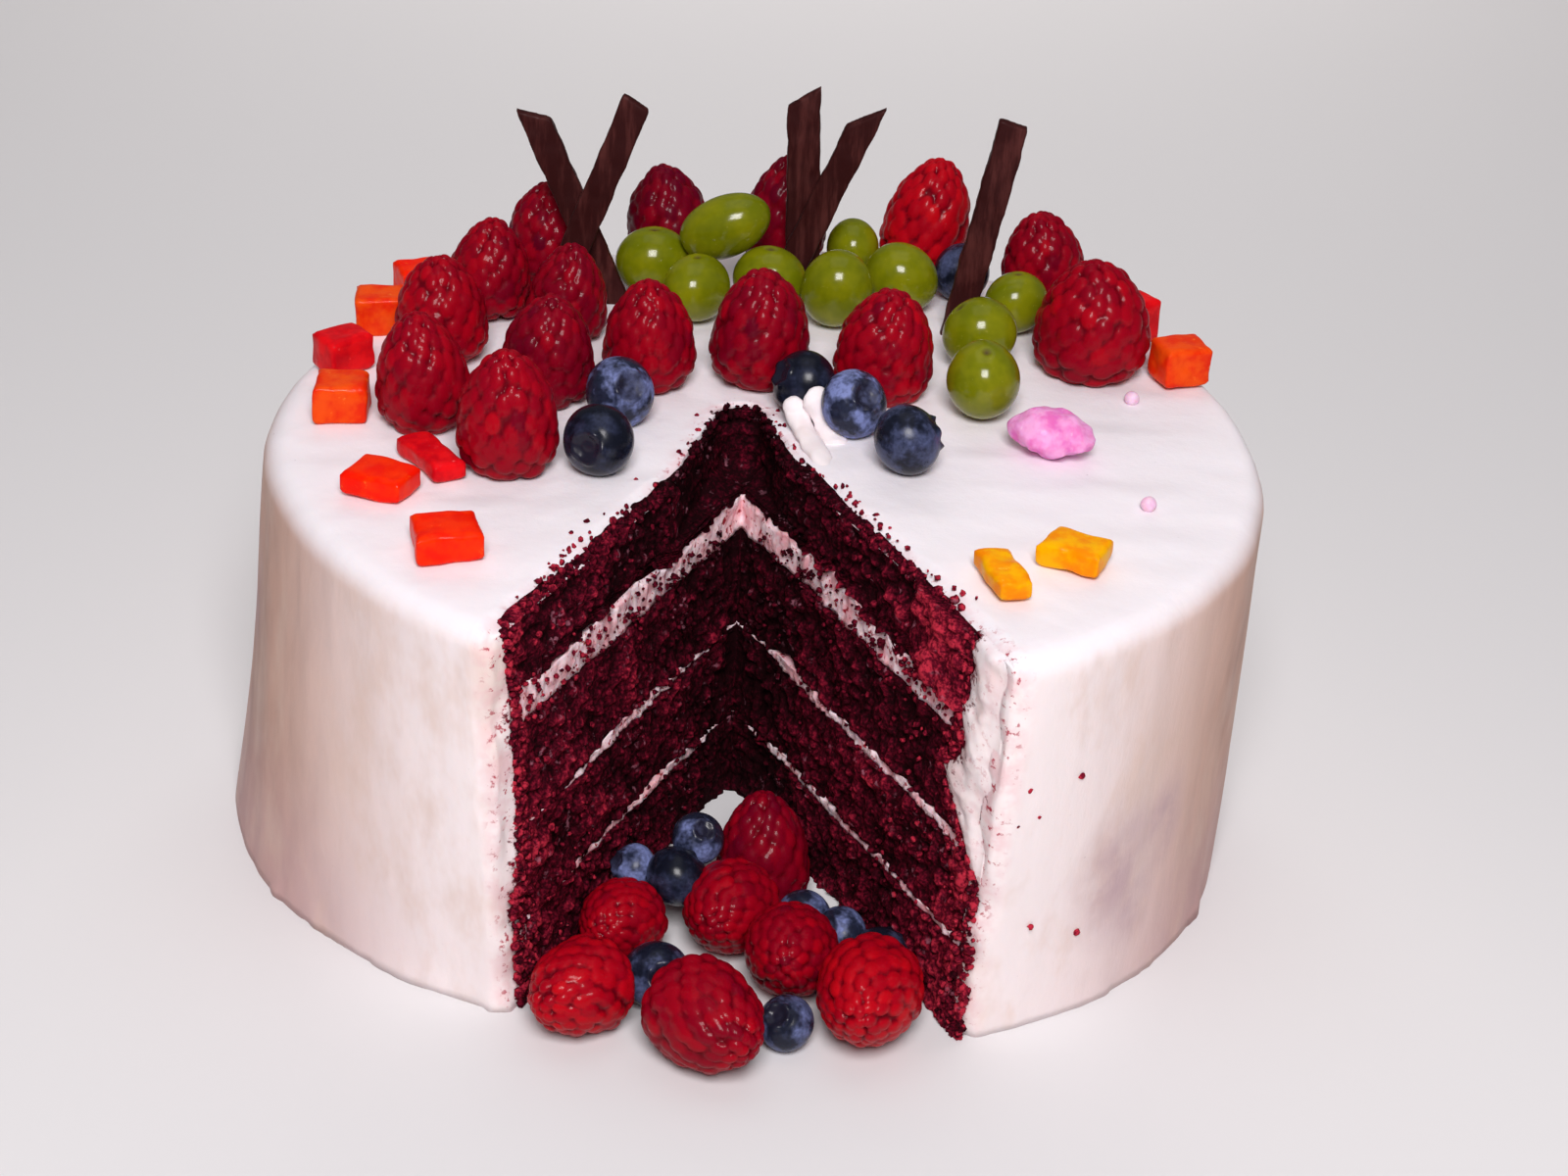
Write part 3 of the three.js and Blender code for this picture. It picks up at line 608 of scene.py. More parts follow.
def chocolate_material():
    """Dark chocolate with a dusty bloom in streaks along each stick."""
    shader = Shader("chocolate", Roughness=0.45, Specular_IOR_Level=0.07)
    streaks = shader.range(shader.noise(2.2, 4, 0.6, (1, 1, 7)), 0.42, 0.72)
    colour = shader.mix(streaks, (0.034, 0.007, 0.007), (0.085, 0.022, 0.02))
    shader.feed("Roughness", shader.range(shader.noise(3, 3), 0.3, 0.7, 0.34, 0.58))
    return shader.finished(colour, shader.noise(1.0, 4, 0.6, (1, 1, 4)), 0.2, 0.3)


def jelly_material(name, deep, bright, edge):
    """Candied fruit: glossy, uneven colour, paler where sugar dries on it."""
    shader = Shader(
        name, Roughness=0.35, Specular_IOR_Level=0.04, Coat_Weight=0.1, Coat_Roughness=0.1,
        Subsurface_Weight=0.3, Subsurface_Scale=4 * MM, Subsurface_Radius=(1.0, 0.35, 0.1),
    )
    patches = shader.range(shader.noise(5, 3, 0.6), 0.35, 0.65)
    colour = shader.mix(patches, deep, bright)
    sugar = shader.range(shader.noise(2.2, 4, 0.6), 0.64, 0.76, 0.0, 0.7)
    colour = shader.mix(sugar, colour, edge)
    return shader.finished(colour, shader.noise(1.6, 4, 0.6), 0.3, 0.4)


def sweet_materials():
    """Candied fruit in each colour: deep, bright, and where sugar dries."""
    colours = {
        "dice_orange_red": ((0.88, 0.008, 0.001), (0.94, 0.03, 0.001), (0.95, 0.2, 0.03)),
        "dice_orange": ((0.78, 0.022, 0.003), (0.85, 0.08, 0.005), (0.92, 0.32, 0.05)),
        "dice_red": ((0.55, 0.002, 0.008), (0.78, 0.006, 0.01), (0.9, 0.2, 0.2)),
        "dice_yellow": ((0.92, 0.25, 0.0005), (0.95, 0.44, 0.001), (0.97, 0.62, 0.06)),
        "candy": ((0.78, 0.16, 0.5), (0.92, 0.42, 0.74), (0.96, 0.75, 0.9)),
        "pearl": ((0.85, 0.5, 0.68), (0.92, 0.66, 0.8), (0.95, 0.85, 0.92)),
    }
    return {name: jelly_material(name, *tones) for name, tones in colours.items()}


# The cake in plan

def cut_length(heading, radius):
    """How far the cut's tip is from a circle round the cake's axis, along a heading."""
    along = CUT_TIP[0] * np.cos(heading) + CUT_TIP[1] * np.sin(heading)
    return np.sqrt(along ** 2 - CUT_TIP @ CUT_TIP + radius ** 2) - along


def from_tip(heading, reach):
    """Points at a reach from the cut's tip along a heading."""
    return CUT_TIP + np.column_stack([reach * np.cos(heading), reach * np.sin(heading)])


def foot_swell(angle, heading, height):
    """How much of a foot's flare or tuck there is, from 1 at the foot to 0 at the top."""
    return np.maximum(0, np.cos(angle - heading)) ** 2 * (1 - height / CAKE_TOP)


def tuck(angle, height):
    """How far the foot of the cake is drawn in."""
    return FOOT_TUCK * foot_swell(angle, TUCK_HEADING, height)


def end_angle(heading):
    """The angle round the cake's axis at which a cut leaves the sponge."""
    end = from_tip(heading, cut_length(heading, SPONGE_RADIUS))[0]
    return math.atan2(end[1], end[0])


def crumb_length(heading, height):
    """How far the sponge reaches along a cut at a height."""
    return cut_length(heading, SPONGE_RADIUS - tuck(end_angle(heading), height))


def bare_length(heading, drag, height):
    """How far bare crumb shows along a cut at a height, up to the icing dragged over it."""
    return crumb_length(heading, height) - np.interp(height, *drag)


def tip_distance(xy):
    """How far points are outside the blunt hollow at the cut's tip, with a minus inside it."""
    aside = np.abs(xy[:, 0] - TORN_MIDDLE[0])
    behind = xy[:, 1] - TORN_MIDDLE[1]
    flank = aside * math.cos(TORN_FLARE) + behind * math.sin(TORN_FLARE)
    rounded = behind * math.cos(TORN_FLARE) > aside * math.sin(TORN_FLARE)
    return np.where(rounded, np.hypot(aside, behind), flank) - TORN_RADIUS


def tip_reach(headings):
    """How far the hollow reaches from the cut's tip along each heading."""
    reaches = np.linspace(0, TORN_LONGEST, TORN_SAMPLES // 4)
    inside = np.array([tip_distance(from_tip(headings, headings * 0 + reach)) < 0 for reach in reaches])
    return reaches[inside.sum(axis=0) - 1]


def torn_outline():
    """The hollow's edge in plan, in even steps from the left cut round its back to the right cut."""
    headings = np.linspace(CUT_LEFT, CUT_RIGHT, TORN_SAMPLES)
    edge = from_tip(headings, tip_reach(headings))
    length = lengths_along(edge)
    spots = np.linspace(0, length[-1], TORN_STEPS + 1)
    return np.column_stack([np.interp(spots, length, edge[:, axis]) for axis in range(2)])


def inward_of(edge):
    """The directions from an edge into the hollow that it goes round."""
    along = np.gradient(edge, axis=0)
    return np.column_stack([along[:, 1], -along[:, 0]]) / np.linalg.norm(along, axis=1)[:, None]


TORN_EDGE = torn_outline()
TORN_INWARD = inward_of(TORN_EDGE)


def facing_of(heading, side):
    """The direction that a cut face looks in, out over the gap."""
    return np.array([-math.sin(heading), math.cos(heading), 0]) * side


def on_cut(heading, reach, height):
    """The point of a cut face at a reach from its tip and a height."""
    return np.array([*from_tip(heading, reach)[0], height])


def cut_depths(points):
    """How far points are from each cut face, for the right cut and the left one."""
    offset = points[:, :2] - CUT_TIP
    depths = []
    for heading, side in CUTS:
        along = offset @ np.array([math.cos(heading), math.sin(heading)])
        across = np.abs(offset @ facing_of(heading, side)[:2])
        depths.append(np.where(along > 0, across, np.linalg.norm(offset, axis=1)))
    return depths


# Icing

def icing_profile():
    """Rows of the icing from its foot to the cut's tip: height, inset, share of the reach, slope."""
    shoulder = CAKE_TOP - ICING_EDGE_ROUND
    for row in range(ICING_SIDE_ROWS):
        yield shoulder * row / ICING_SIDE_ROWS, 0, 1, 0
    for row in range(ICING_EDGE_ROWS + 1):
        slope = math.pi / 2 * row / ICING_EDGE_ROWS
        inset = ICING_EDGE_ROUND * (1 - math.cos(slope))
        yield shoulder + ICING_EDGE_ROUND * math.sin(slope), inset, 1, slope
    for row in range(1, ICING_TOP_ROWS + 1):
        yield CAKE_TOP, ICING_EDGE_ROUND, 1 - row / ICING_TOP_ROWS, math.pi / 2


def icing_relief(points, slope):
    """How far the spread icing stands out: broad dents, strokes of the spatula and a rough foot."""
    upright = points * np.array([1, 1, 0.18])
    side = 0.45 * noise(points, 30, 1) + 0.3 * noise(upright, 9, 2) + 0.12 * noise(upright, 3.5, 3)
    across = points * np.array([0.25, 1, 1])
    top = 0.4 * noise(points, 24, 4) + 0.3 * noise(across, 7, 5) + 0.12 * fractal(points, 5, 2, 6)
    foot = np.clip(1 - points[:, 2] / 6, 0, 1) * np.maximum(0, fractal(points, 9, 3, 7))
    share = math.sin(slope) ** 2
    return side * (1 - share) + top * share + 1.4 * foot


def tear_edges(points):
    """Draws the icing back unevenly where a cut runs through it."""
    torn = points.copy()
    rim = ease(np.linalg.norm(points[:, :2], axis=1), *DRAG_RIM)
    for (heading, side), drag, depth in zip(CUTS, DRAGS, cut_depths(points)):
        dragged = np.clip(np.interp(points[:, 2], *drag) / 6, 0, 1)
        pull = RAGGED_DEPTH * (0.55 + 0.45 * fractal(points, 5, 2, 30 + side)) * (1 - 0.9 * rim * dragged)
        share = np.clip(1 - depth / RAGGED_REACH, 0, 1)
        torn -= facing_of(heading, side) * (pull * share)[:, None]
    return torn


def icing_rows():
    """The icing's outer and inner points, row by row, over every heading that it covers."""
    share = np.linspace(0, 1, ICING_STEPS + 1)
    closer = share - CLOSER_BY_CUTS * np.sin(2 * np.pi * share)
    headings = CUT_RIGHT + (CUT_LEFT - CUT_RIGHT) * closer
    rim = from_tip(headings, cut_length(headings, CAKE_RADIUS))
    angle = np.arctan2(rim[:, 1], rim[:, 0])
    radial = np.column_stack([np.cos(angle), np.sin(angle)])
    start = tip_reach(headings)
    start = start + TORN_LIP * (1 + fractal(flat(from_tip(headings, start)), 5, 2, 33))
    outer_rows = []
    inner_rows = []
    for height, inset, share, slope in icing_profile():
        wave = SIDE_WAVE * np.sin(WAVES_ROUND * angle + 1) * np.sin(height / WAVE_RISE + 2 * np.sin(angle))
        radius = CAKE_RADIUS + FOOT_FLARE * foot_swell(angle, FLARE_HEADING, height) - tuck(angle, height)
        reach = cut_length(headings, radius + wave * math.cos(slope) - inset)
        reach = start + (reach - start) * share
        outer = np.column_stack([from_tip(headings, reach), np.full(len(headings), height)])
        corner = np.clip(1 - np.minimum(*cut_depths(outer)) / CORNER_REACH, 0, 1) ** 2
        relief = (icing_relief(outer, slope) - CORNER_DROP * corner)[:, None]
        outer[:, :2] += radial * relief * math.cos(slope)
        outer[:, 2:] += relief * math.sin(slope)
        outer_rows.append(tear_edges(outer))
        bore = cut_length(headings, SPONGE_RADIUS + BORE_GAP - tuck(angle, height))
        bore = start + (bore - start) * share
        level = min(height, ICING_UNDERSIDE)
        inner_rows.append(np.column_stack([from_tip(headings, bore), np.full(len(headings), level)]))
    return np.array(outer_rows), np.array(inner_rows)


def icing_cap(outer, inner, facing, seed):
    """The icing's own cut face, a rough strip between its outside and its inside."""
    share = np.linspace(0, 1, ICING_CAP_COLUMNS + 1)
    strip = outer[:, None, :] + (inner - outer)[:, None, :] * share[None, :, None]
    points = strip.reshape(-1, 3)
    free = np.outer(np.ones(len(outer)), np.sin(np.pi * share))
    free[0] = 0
    free[-1] = 0
    return points + facing * (free.ravel() * (0.9 * fractal(points, 5, 3, seed)))[:, None]


def thinness(points):
    """How thin the icing is spread, from 0 to 1, by the patches where crumb shows through."""
    angle = np.arctan2(points[:, 1], points[:, 0])
    thin = np.zeros(len(points))
    for degrees, height, radius in THIN_PATCHES:
        turn = (angle - math.radians(degrees) + math.pi) % (2 * math.pi) - math.pi
        distance = np.hypot(turn * CAKE_RADIUS, (points[:, 2] - height) * 0.7)
        thin = np.maximum(thin, np.clip(1.3 - distance / radius, 0, 1))
    return thin


def between(first, last, count):
    """Rows of points between two rows, without those two."""
    share = np.linspace(0, 1, count + 1)[1:-1, None, None]
    return first + (last - first) * share


def make_icing(material):
    """The icing round and on top of the cake, with its two cut faces."""
    outer, inner = icing_rows()
    tip = between(outer[-1], inner[-1], ICING_CAP_COLUMNS)
    foot = between(inner[0], outer[0], ICING_CAP_COLUMNS)
    loop = np.concatenate([outer, tip, inner[::-1], foot, outer[:1]])
    points = [loop.reshape(-1, 3)]
    dragged = [np.zeros(len(points[0]))]
    faces = grid_faces(len(loop), ICING_STEPS + 1)
    start = len(points[0])
    for column, (heading, side) in zip((0, -1), CUTS):
        cap = icing_cap(outer[:, column], inner[:, column], facing_of(heading, side), 20 + side)
        points.append(cap)
        deep = 0.5 - 0.3 * ease(outer[:, column, 2], 30, 50)
        dragged.append(np.outer(deep, np.linspace(0, 1, ICING_CAP_COLUMNS + 1)).ravel())
        faces += grid_faces(len(outer), ICING_CAP_COLUMNS + 1, start)
        start += len(cap)
    points = np.vstack(points)
    from_cut = np.minimum(*cut_depths(points))
    values = {
        "cut": np.minimum(from_cut, np.maximum(0, tip_distance(points[:, :2]))),
        "height": points[:, 2] / CAKE_TOP, "thin": thinness(points), "inner": np.concatenate(dragged),
    }
    show("icing_spread", (points, faces, values), material, "icing", ["icing"])


def make_dragged_icing(material):
    """A thin ragged skin of icing that the knife dragged over the outer end of the right cut."""
    heading, side = CUTS[0]
    top = CAKE_TOP - DRAG_TOP_GAP
    share = np.linspace(0, 1, DRAG_COLUMNS + 1)
    shape = ease(share, 0, 0.45) * (1 - share ** 6)
    along = np.array([math.cos(heading), math.sin(heading), 0])
    facing = facing_of(heading, side)
    rings = []
    for level in np.linspace(DRAGGED[0][0], top, DRAG_ROWS):
        full = np.interp(level, *DRAGGED)
        reach = full * (1 + 0.3 * fractal(np.array([[0.0, 0.0, level]]), 7, 3, 61)[0])
        place = on_cut(heading, crumb_length(heading, level) + DRAG_OVERLAP, level)
        line = place - np.outer(share * (DRAG_OVERLAP + reach), along)
        rounding = math.sqrt(1 - max(0, (level + DRAG_ROUND - top) / DRAG_ROUND) ** 2)
        thick = shape * (DRAG_THICK + 0.7 * fractal(line, 5, 3, 62)) * min(1, full / 4) * rounding
        front = line + np.outer(thick - DRAG_SUNK, facing)
        rings.append(np.vstack([front, (line - DRAG_BACK * facing)[::-1]]))
    points = np.vstack(rings)
    faces = tube_faces(DRAG_ROWS, len(rings[0]))
    thinning = np.tile(np.concatenate([share, share[::-1]]) ** 2, DRAG_ROWS)
    values = {"cut": 3, "height": points[:, 2] / CAKE_TOP, "thin": 0, "inner": 0.36 * thinning}
    show("icing_dragged", (points, faces, values), material, "icing")


def lobe(radius, knots, seed):
    """A flattened, round-ended lobe along a few points: points, faces and no values."""
    knots = np.array(knots)
    places = np.linspace(0, len(knots) - 1, LOBE_ROWS)
    path = np.column_stack([np.interp(places, np.arange(len(knots)), knots[:, axis]) for axis in range(3)])
    for _ in range(8):
        path[1:-1] = (path[:-2] + path[1:-1] * 2 + path[2:]) / 4
    along = np.gradient(path, axis=0)
    lying = ease(path[:, 2], CAKE_TOP + 4, CAKE_TOP + 1)
    outwards = np.outer(1 - lying, [0, -0.85, 0.5]) + np.outer(lying, [0, 0, 1])
    across = np.cross(along, outwards)
    across /= np.linalg.norm(across, axis=1)[:, None]
    beside = np.cross(along / np.linalg.norm(along, axis=1)[:, None], across)
    end = np.sqrt(1 - (1 - lengths_along(path) / radius).clip(0) ** 2)
    width = radius * end[:, None, None]
    turn = (2 * np.pi * np.arange(LOBE_SIDES) / LOBE_SIDES)[None, :, None]
    rings = path[:, None] + width * (np.cos(turn) * across[:, None] + 0.5 * np.sin(turn) * beside[:, None])
    points = rings.reshape(-1, 3)
    points = points + 0.4 * np.column_stack([fractal(points, 3, 2, seed + axis) for axis in range(3)])
    return points, tube_faces(LOBE_ROWS, LOBE_SIDES), {}


def make_lobes(material):
    """Icing smeared up over a blueberry."""
    points, faces, _ = join([lobe(*row, 70 + number) for number, row in enumerate(LOBES)])
    values = {"cut": 5, "height": 0.965, "thin": 0, "inner": 0}
    show("icing_lobes", (points, faces, values), material, "icing")


# Sponge and cream

def seam_levels():
    """Nominal levels between the layers, from the foot to the underside of the icing."""
    boxes = [node_box(name) for name in LAYERS]
    levels = [boxes[0][0][2]]
    for below, above in zip(boxes, boxes[1:]):
        levels.append((below[1][2] + above[0][2]) / 2)
    levels.append(boxes[-1][1][2])
    return levels


LEVELS = seam_levels()


def cream_fade(cream, xy):
    """How much of its thickness a cream keeps: the lower two thin out at the tip and on the left."""
    if cream == TOP_CREAM:
        return np.ones(len(xy))
    reach = np.linalg.norm(xy - CUT_TIP, axis=1)
    fade = 0.08 + 0.92 * ease(reach, *FADE_AT_TIP)
    left = xy[:, 0] < CUT_TIP[0]
    return fade * np.where(left, 1 - 0.9 * ease(reach, *FADE_ON_LEFT), 1)


def seam_height(seam, xy):
    """The wavy height of the seam under layer number seam, at points of the plan."""
    level = LEVELS[seam]
    if seam in (0, len(LAYERS)):
        return np.full(len(xy), level)
    cream = seam if LAYERS[seam].startswith("cream") else seam - 1
    spread = flat(xy)
    wave = 0.9 * noise(spread, 24, cream) + 0.4 * noise(spread, 7, cream + 1)
    wave += 0.3 * noise(spread, 2.5, cream + 4)
    smear = SMEAR if cream == TOP_CREAM else 0
    if seam == cream:
        return level + wave - smear / 2
    thickness = level - LEVELS[cream]
    swell = 0.35 * noise(spread, 14, cream + 2) + 0.35 * noise(spread, 4, cream + 3)
    return LEVELS[cream] + wave + (thickness + smear) * (1 + swell) * cream_fade(cream, xy)


def hollow_share(height):
    """How much of its full reach the torn hollow has at a height."""
    return ease(height, TORN_FLOOR - 1.5, TORN_FLOOR + 2)


def cut_line(heading, side, height, topmost):
    """One cut in plan, from its tip or torn end outwards: points, facing, shares and the end's angle."""
    length = crumb_length(heading, height)
    hollow = hollow_share(height) * tip_reach(heading)[0] if topmost else 0
    count = int(cut_length(heading, SPONGE_RADIUS) / CUT_STEP)
    share = np.linspace(0, 1, count + 1)
    xy = from_tip(np.full(count + 1, heading), hollow + share * (length - hollow))
    facing = np.tile(facing_of(heading, side)[:2], (count + 1, 1))
    return xy, facing, share, end_angle(heading)


def hollow_line(height):
    """The wall of the torn hollow in plan, from the left cut round its back to the right cut."""
    xy = CUT_TIP + (TORN_EDGE - CUT_TIP) * hollow_share(height)
    return xy[1:-1], TORN_INWARD[1:-1]


def layer_outline(height, topmost):
    """Plan of a layer: points, the way each faces, how rough it is, its share along the cut, its chunk."""
    right, left = [cut_line(heading, side, height, topmost) for heading, side in CUTS]
    rim = np.linspace(right[3], left[3] % (2 * math.pi), RIM_STEPS + 1)[1:-1]
    radius = (SPONGE_RADIUS - tuck(rim, height))[:, None]
    radial = np.column_stack([np.cos(rim), np.sin(rim)])
    back, inward = hollow_line(height) if topmost else (np.zeros((0, 2)), np.zeros((0, 2)))
    last = 0 if topmost else 1
    cut_left = [part[::-1][: len(part) - last] for part in left[:3]]
    smooth = np.zeros(len(rim))
    xy = np.vstack([right[0], radius * radial, cut_left[0], back])
    facing = np.vstack([right[1], radial, cut_left[1], inward])
    share = np.concatenate([right[2], smooth + 1, cut_left[2], np.zeros(len(back))])
    start = 0.6 if topmost else 0.15
    rough = np.minimum(1, start + share * 40)
    rough[len(right[2]): len(right[2]) + len(rim)] = 0
    reach = np.linalg.norm(right[0] - CUT_TIP, axis=1)
    bare = bare_length(CUT_RIGHT, DRAGGED, height)
    rough[: len(reach)] *= 1 - ease(reach, bare - 0.5, bare + 1.5)
    chunk = np.zeros(len(xy))
    if topmost:
        chunk[: len(reach)] = np.clip(1.5 - np.abs(reach - CHUNK_MIDDLE) / CHUNK_HALF * 1.5, 0, 1)
    return xy, facing, rough, share, chunk


def billow(points, size, seed):
    """Rounded lumps with creases between them."""
    return 2 * np.abs(noise(points, size, seed)) - 0.6


def crumb_relief(points, seed):
    """Torn crumb: lumps, grains and pits."""
    lumps = 0.8 * noise(points, 10, seed) + 0.8 * billow(points, 3.8, seed + 1)
    grains = 0.65 * billow(points, 1.9, seed + 2) + 0.3 * noise(points, 1.1, seed + 4)
    pits = -1.6 * np.maximum(0, noise(points, 3, seed + 3) - 0.4)
    return lumps + grains + pits


def smear_relief(points, seed):
    """Filling dragged by the knife, a little back from the crumb."""
    return 0.5 * noise(points, 4, seed) + 0.35 * billow(points, 1.6, seed + 1) - 0.1


def make_layer(index, material):
    """One layer of sponge or cream, right through the cake, with torn faces at the cut."""
    name = LAYERS[index]
    kind = name.split("_")[0]
    topmost = index == TOPMOST
    depth = LEVELS[index + 1] - LEVELS[index]
    rings = max(5, int(depth / CUT_STEP)) + 1
    levels = np.linspace(LEVELS[index], LEVELS[index + 1], rings)
    points = []
    relief = []
    edge = []
    for ring, level in enumerate(levels):
        xy, facing, rough, share, chunk = layer_outline(level, topmost)
        low = seam_height(index, xy)
        high = seam_height(index + 1, xy)
        if topmost:
            high = high + np.where(rough > 0, TOP_RISE + 0.5 * noise(flat(xy), 4, 9), 0)
        height = low + (high - low) * ring / (rings - 1)
        place = np.column_stack([xy, height])
        stand = crumb_relief(place, 40) if kind == "sponge" else smear_relief(place, 50)
        bulge = CHUNK_DEPTH * chunk * (1 + 0.4 * noise(place, 6, 44))
        place[:, :2] += facing * (rough * stand + bulge)[:, None]
        points.append(place)
        # The relief is kept for the sponge's colour too, where it becomes painted shade in the pits and
        # painted light on the lumps.
        relief.append(stand * 0.24 + 0.4)
        # Painted shade near the torn tip, and painted light towards each cut's outer end and on the torn
        # chunk.
        tip_shade = 0.2 - 0.2 * ease(share, 0.05, 0.45)
        edge.append((0.3 * ease(share, 0.8, 1) + 0.4 * chunk - tip_shade) * (rough > 0))
    faces = tube_faces(rings, len(points[0]))
    values = {"relief": np.concatenate(relief), "edge": np.concatenate(edge)}
    show(f"{name}_crumb", (np.vstack(points), faces, values), material, kind, [name])


# Fruit

def drupelets(count, random):
    """Directions of a raspberry's drupelets, packed along a spiral and a little uneven."""
    index = np.arange(count) + 0.5
    rise = 1 - 2 * index / count
    out = np.sqrt(1 - rise ** 2)
    spread = np.column_stack([out * np.cos(index * GOLDEN_ANGLE), out * np.sin(index * GOLDEN_ANGLE), rise])
    spread += random.normal(0, DRUPELET_SCATTER, spread.shape)
    return spread / np.linalg.norm(spread, axis=1)[:, None]


def raspberry(width, height, brightness, random):
    """A raspberry standing on its base: points, faces and values."""
    directions, faces = ball_grid(*RASPBERRY_GRID)
    beads = drupelets(random.integers(*DRUPELETS), random)
    closeness = directions @ beads.T
    nearest = closeness.argmax(axis=1)
    bead_angle = 2 / math.sqrt(len(beads))
    gap = np.arccos(np.clip(closeness.max(axis=1), -1, 1)) / bead_angle
    dome = np.sqrt(np.clip(1 - (gap / 1.15) ** 2, 0, 1))
    swell = random.normal(0, 0.012, len(beads))[nearest] + (1 - DRUPELET_BULGE) + DRUPELET_BULGE * dome
    rise = directions[:, 2]
    taper = 0.98 - 0.17 * rise - 0.1 * rise * np.abs(rise)
    out = np.linalg.norm(directions[:, :2], axis=1)
    full = np.where(rise < 0, (1 - np.abs(rise) ** 2.8).clip(0) ** (1 / 2.8), out)
    around = directions[:, :2] / np.maximum(out, 1e-6)[:, None]
    shape = np.column_stack([around * (full * taper)[:, None], rise])
    points = shape * swell[:, None] * np.array([width / 2, width / 2, height / 2])
    points[:, :2] *= 1 + 0.03 * noise(points, width * 0.6, int(random.integers(90)))[:, None]
    tone = 0.36 + brightness + random.normal(0, 0.08, len(beads))[nearest]
    # The gap from each drupelet's middle also sets the painted shade between the drupelets.
    return points, faces, {"tone": tone, "crevice_shade": gap}


def blueberry(radius, bloom, random):
    """A blueberry with its crown on top: points, faces and values."""
    directions, faces = ball_grid(*BLUEBERRY_GRID)
    slope = np.arccos(np.clip(directions[:, 2], -1, 1))
    turn = np.arctan2(directions[:, 1], directions[:, 0])
    crown_slope = CROWN_SLOPE + random.normal(0, 0.02)
    lobes = 0.6 + 0.4 * np.cos(5 * turn + random.uniform(0, 6))
    rim = CROWN_RIM * np.exp(-((slope - crown_slope) / 0.085) ** 2) * lobes
    hollow = CROWN_HOLLOW * np.clip((crown_slope - slope) / 0.2, 0, 1)
    points = directions * (1 + rim - hollow)[:, None]
    points[:, 2] *= BLUEBERRY_FLATNESS
    points *= 1 + 0.025 * noise(directions, 0.9, int(random.integers(90)))[:, None]
    crown = 0.75 * np.clip((crown_slope + 0.06 - slope) / 0.08, 0, 1)
    return points * radius, faces, {"crown": crown, "bloom": crown * 0 + bloom}


def grape(random):
    """A round grape with the scar of its stem on top: points, faces and values."""
    directions, faces = ball_grid(*GRAPE_GRID)
    slope = np.arccos(np.clip(directions[:, 2], -1, 1))
    dimple = GRAPE_DIMPLE * np.exp(-(slope / 0.13) ** 2)
    points = directions * (1 - dimple)[:, None]
    points *= 1 + 0.03 * noise(directions, 1.1, int(random.integers(90)))[:, None]
    return points, faces, {"scar": np.clip(1.4 - slope / 0.09, 0, 1)}


def make_raspberries(material):
    """The raspberries on top of the cake."""
    random = np.random.default_rng(RASPBERRY_SEED)
    for number, (lean, heading, brightness) in enumerate(RASPBERRY_POSES, 1):
        node = f"raspberry_{number}"
        low, high = node_box(node)
        points, faces, values = raspberry(high[0] - low[0], high[2] - low[2], brightness, random)
        points = points @ leaning(lean, heading, random.uniform(0, 6)).T
        points = fit_to_box(points, low - [0, 0, RASPBERRY_SINK], high)
        show(f"berry_red_{number}", (points, faces, values), material, "raspberry", [node])


def make_blueberries(material):
    """The blueberries on top of the cake."""
    random = np.random.default_rng(BLUEBERRY_SEED)
    for number, (lean, heading, bloom) in enumerate(BLUEBERRY_POSES, 1):
        node = f"blueberry_{number}"
        low, high = node_box(node)
        points, faces, values = blueberry(1, bloom, random)
        points = points @ leaning(lean, heading, 0).T
        points = fit_to_box(points, low - [0, 0, BLUEBERRY_SINK], high)
        show(f"berry_blue_{number}", (points, faces, values), material, "blueberry", [node])


def along_node(points, node):
    """A round shape with a radius of 1, stretched and turned like a node's solid."""
    source = frame["nodes"][node]
    solid = np.array([source.matrix_world @ vertex.co for vertex in source.data.vertices]) / MM
    middle = (solid.min(axis=0) + solid.max(axis=0)) / 2
    spread = np.unique(solid.round(3), axis=0) - middle
    _, directions = np.linalg.eigh(np.cov(spread.T))
    half = np.abs(spread @ directions).max(axis=0)
    return middle + (points * half) @ directions.T


def make_grapes(material):
    """The grapes on top of the cake."""
    random = np.random.default_rng(GRAPE_SEED)
    for number, node in enumerate(nodes_of("grape"), 1):
        points, faces, values = grape(random)
        show(f"grape_green_{number}", (along_node(points, node), faces, values), material, "grape", [node])


def make_cut_berries(red_material, blue_material):
    """The berries that lie in the cut, heaped on one another."""
    random = np.random.default_rng(CUT_BERRY_SEED)
    reds = []
    for x, y, width, height, lean, heading, brightness in CUT_RASPBERRIES:
        points, faces, values = raspberry(width, height, brightness, random)
        points = points @ leaning(lean, heading, random.uniform(0, 6)).T
        points += np.array([x, y, 0]) - [0, 0, points[:, 2].min()]
        reds.append((points, faces, values))
    blues = []
    for x, y, z, radius, lean, heading, bloom in CUT_BLUEBERRIES:
        points, faces, values = blueberry(radius, bloom, random)
        points = points @ leaning(lean, heading, 0).T
        points += np.array([x, y, max(z, -points[:, 2].min())])
        blues.append((points, faces, values))
    show("cut_berries_red", join(reds), red_material, "raspberry", ["cut_berries"])
    show("cut_berries_blue", join(blues), blue_material, "blueberry", ["cut_berries"])


# Chocolate and sweets

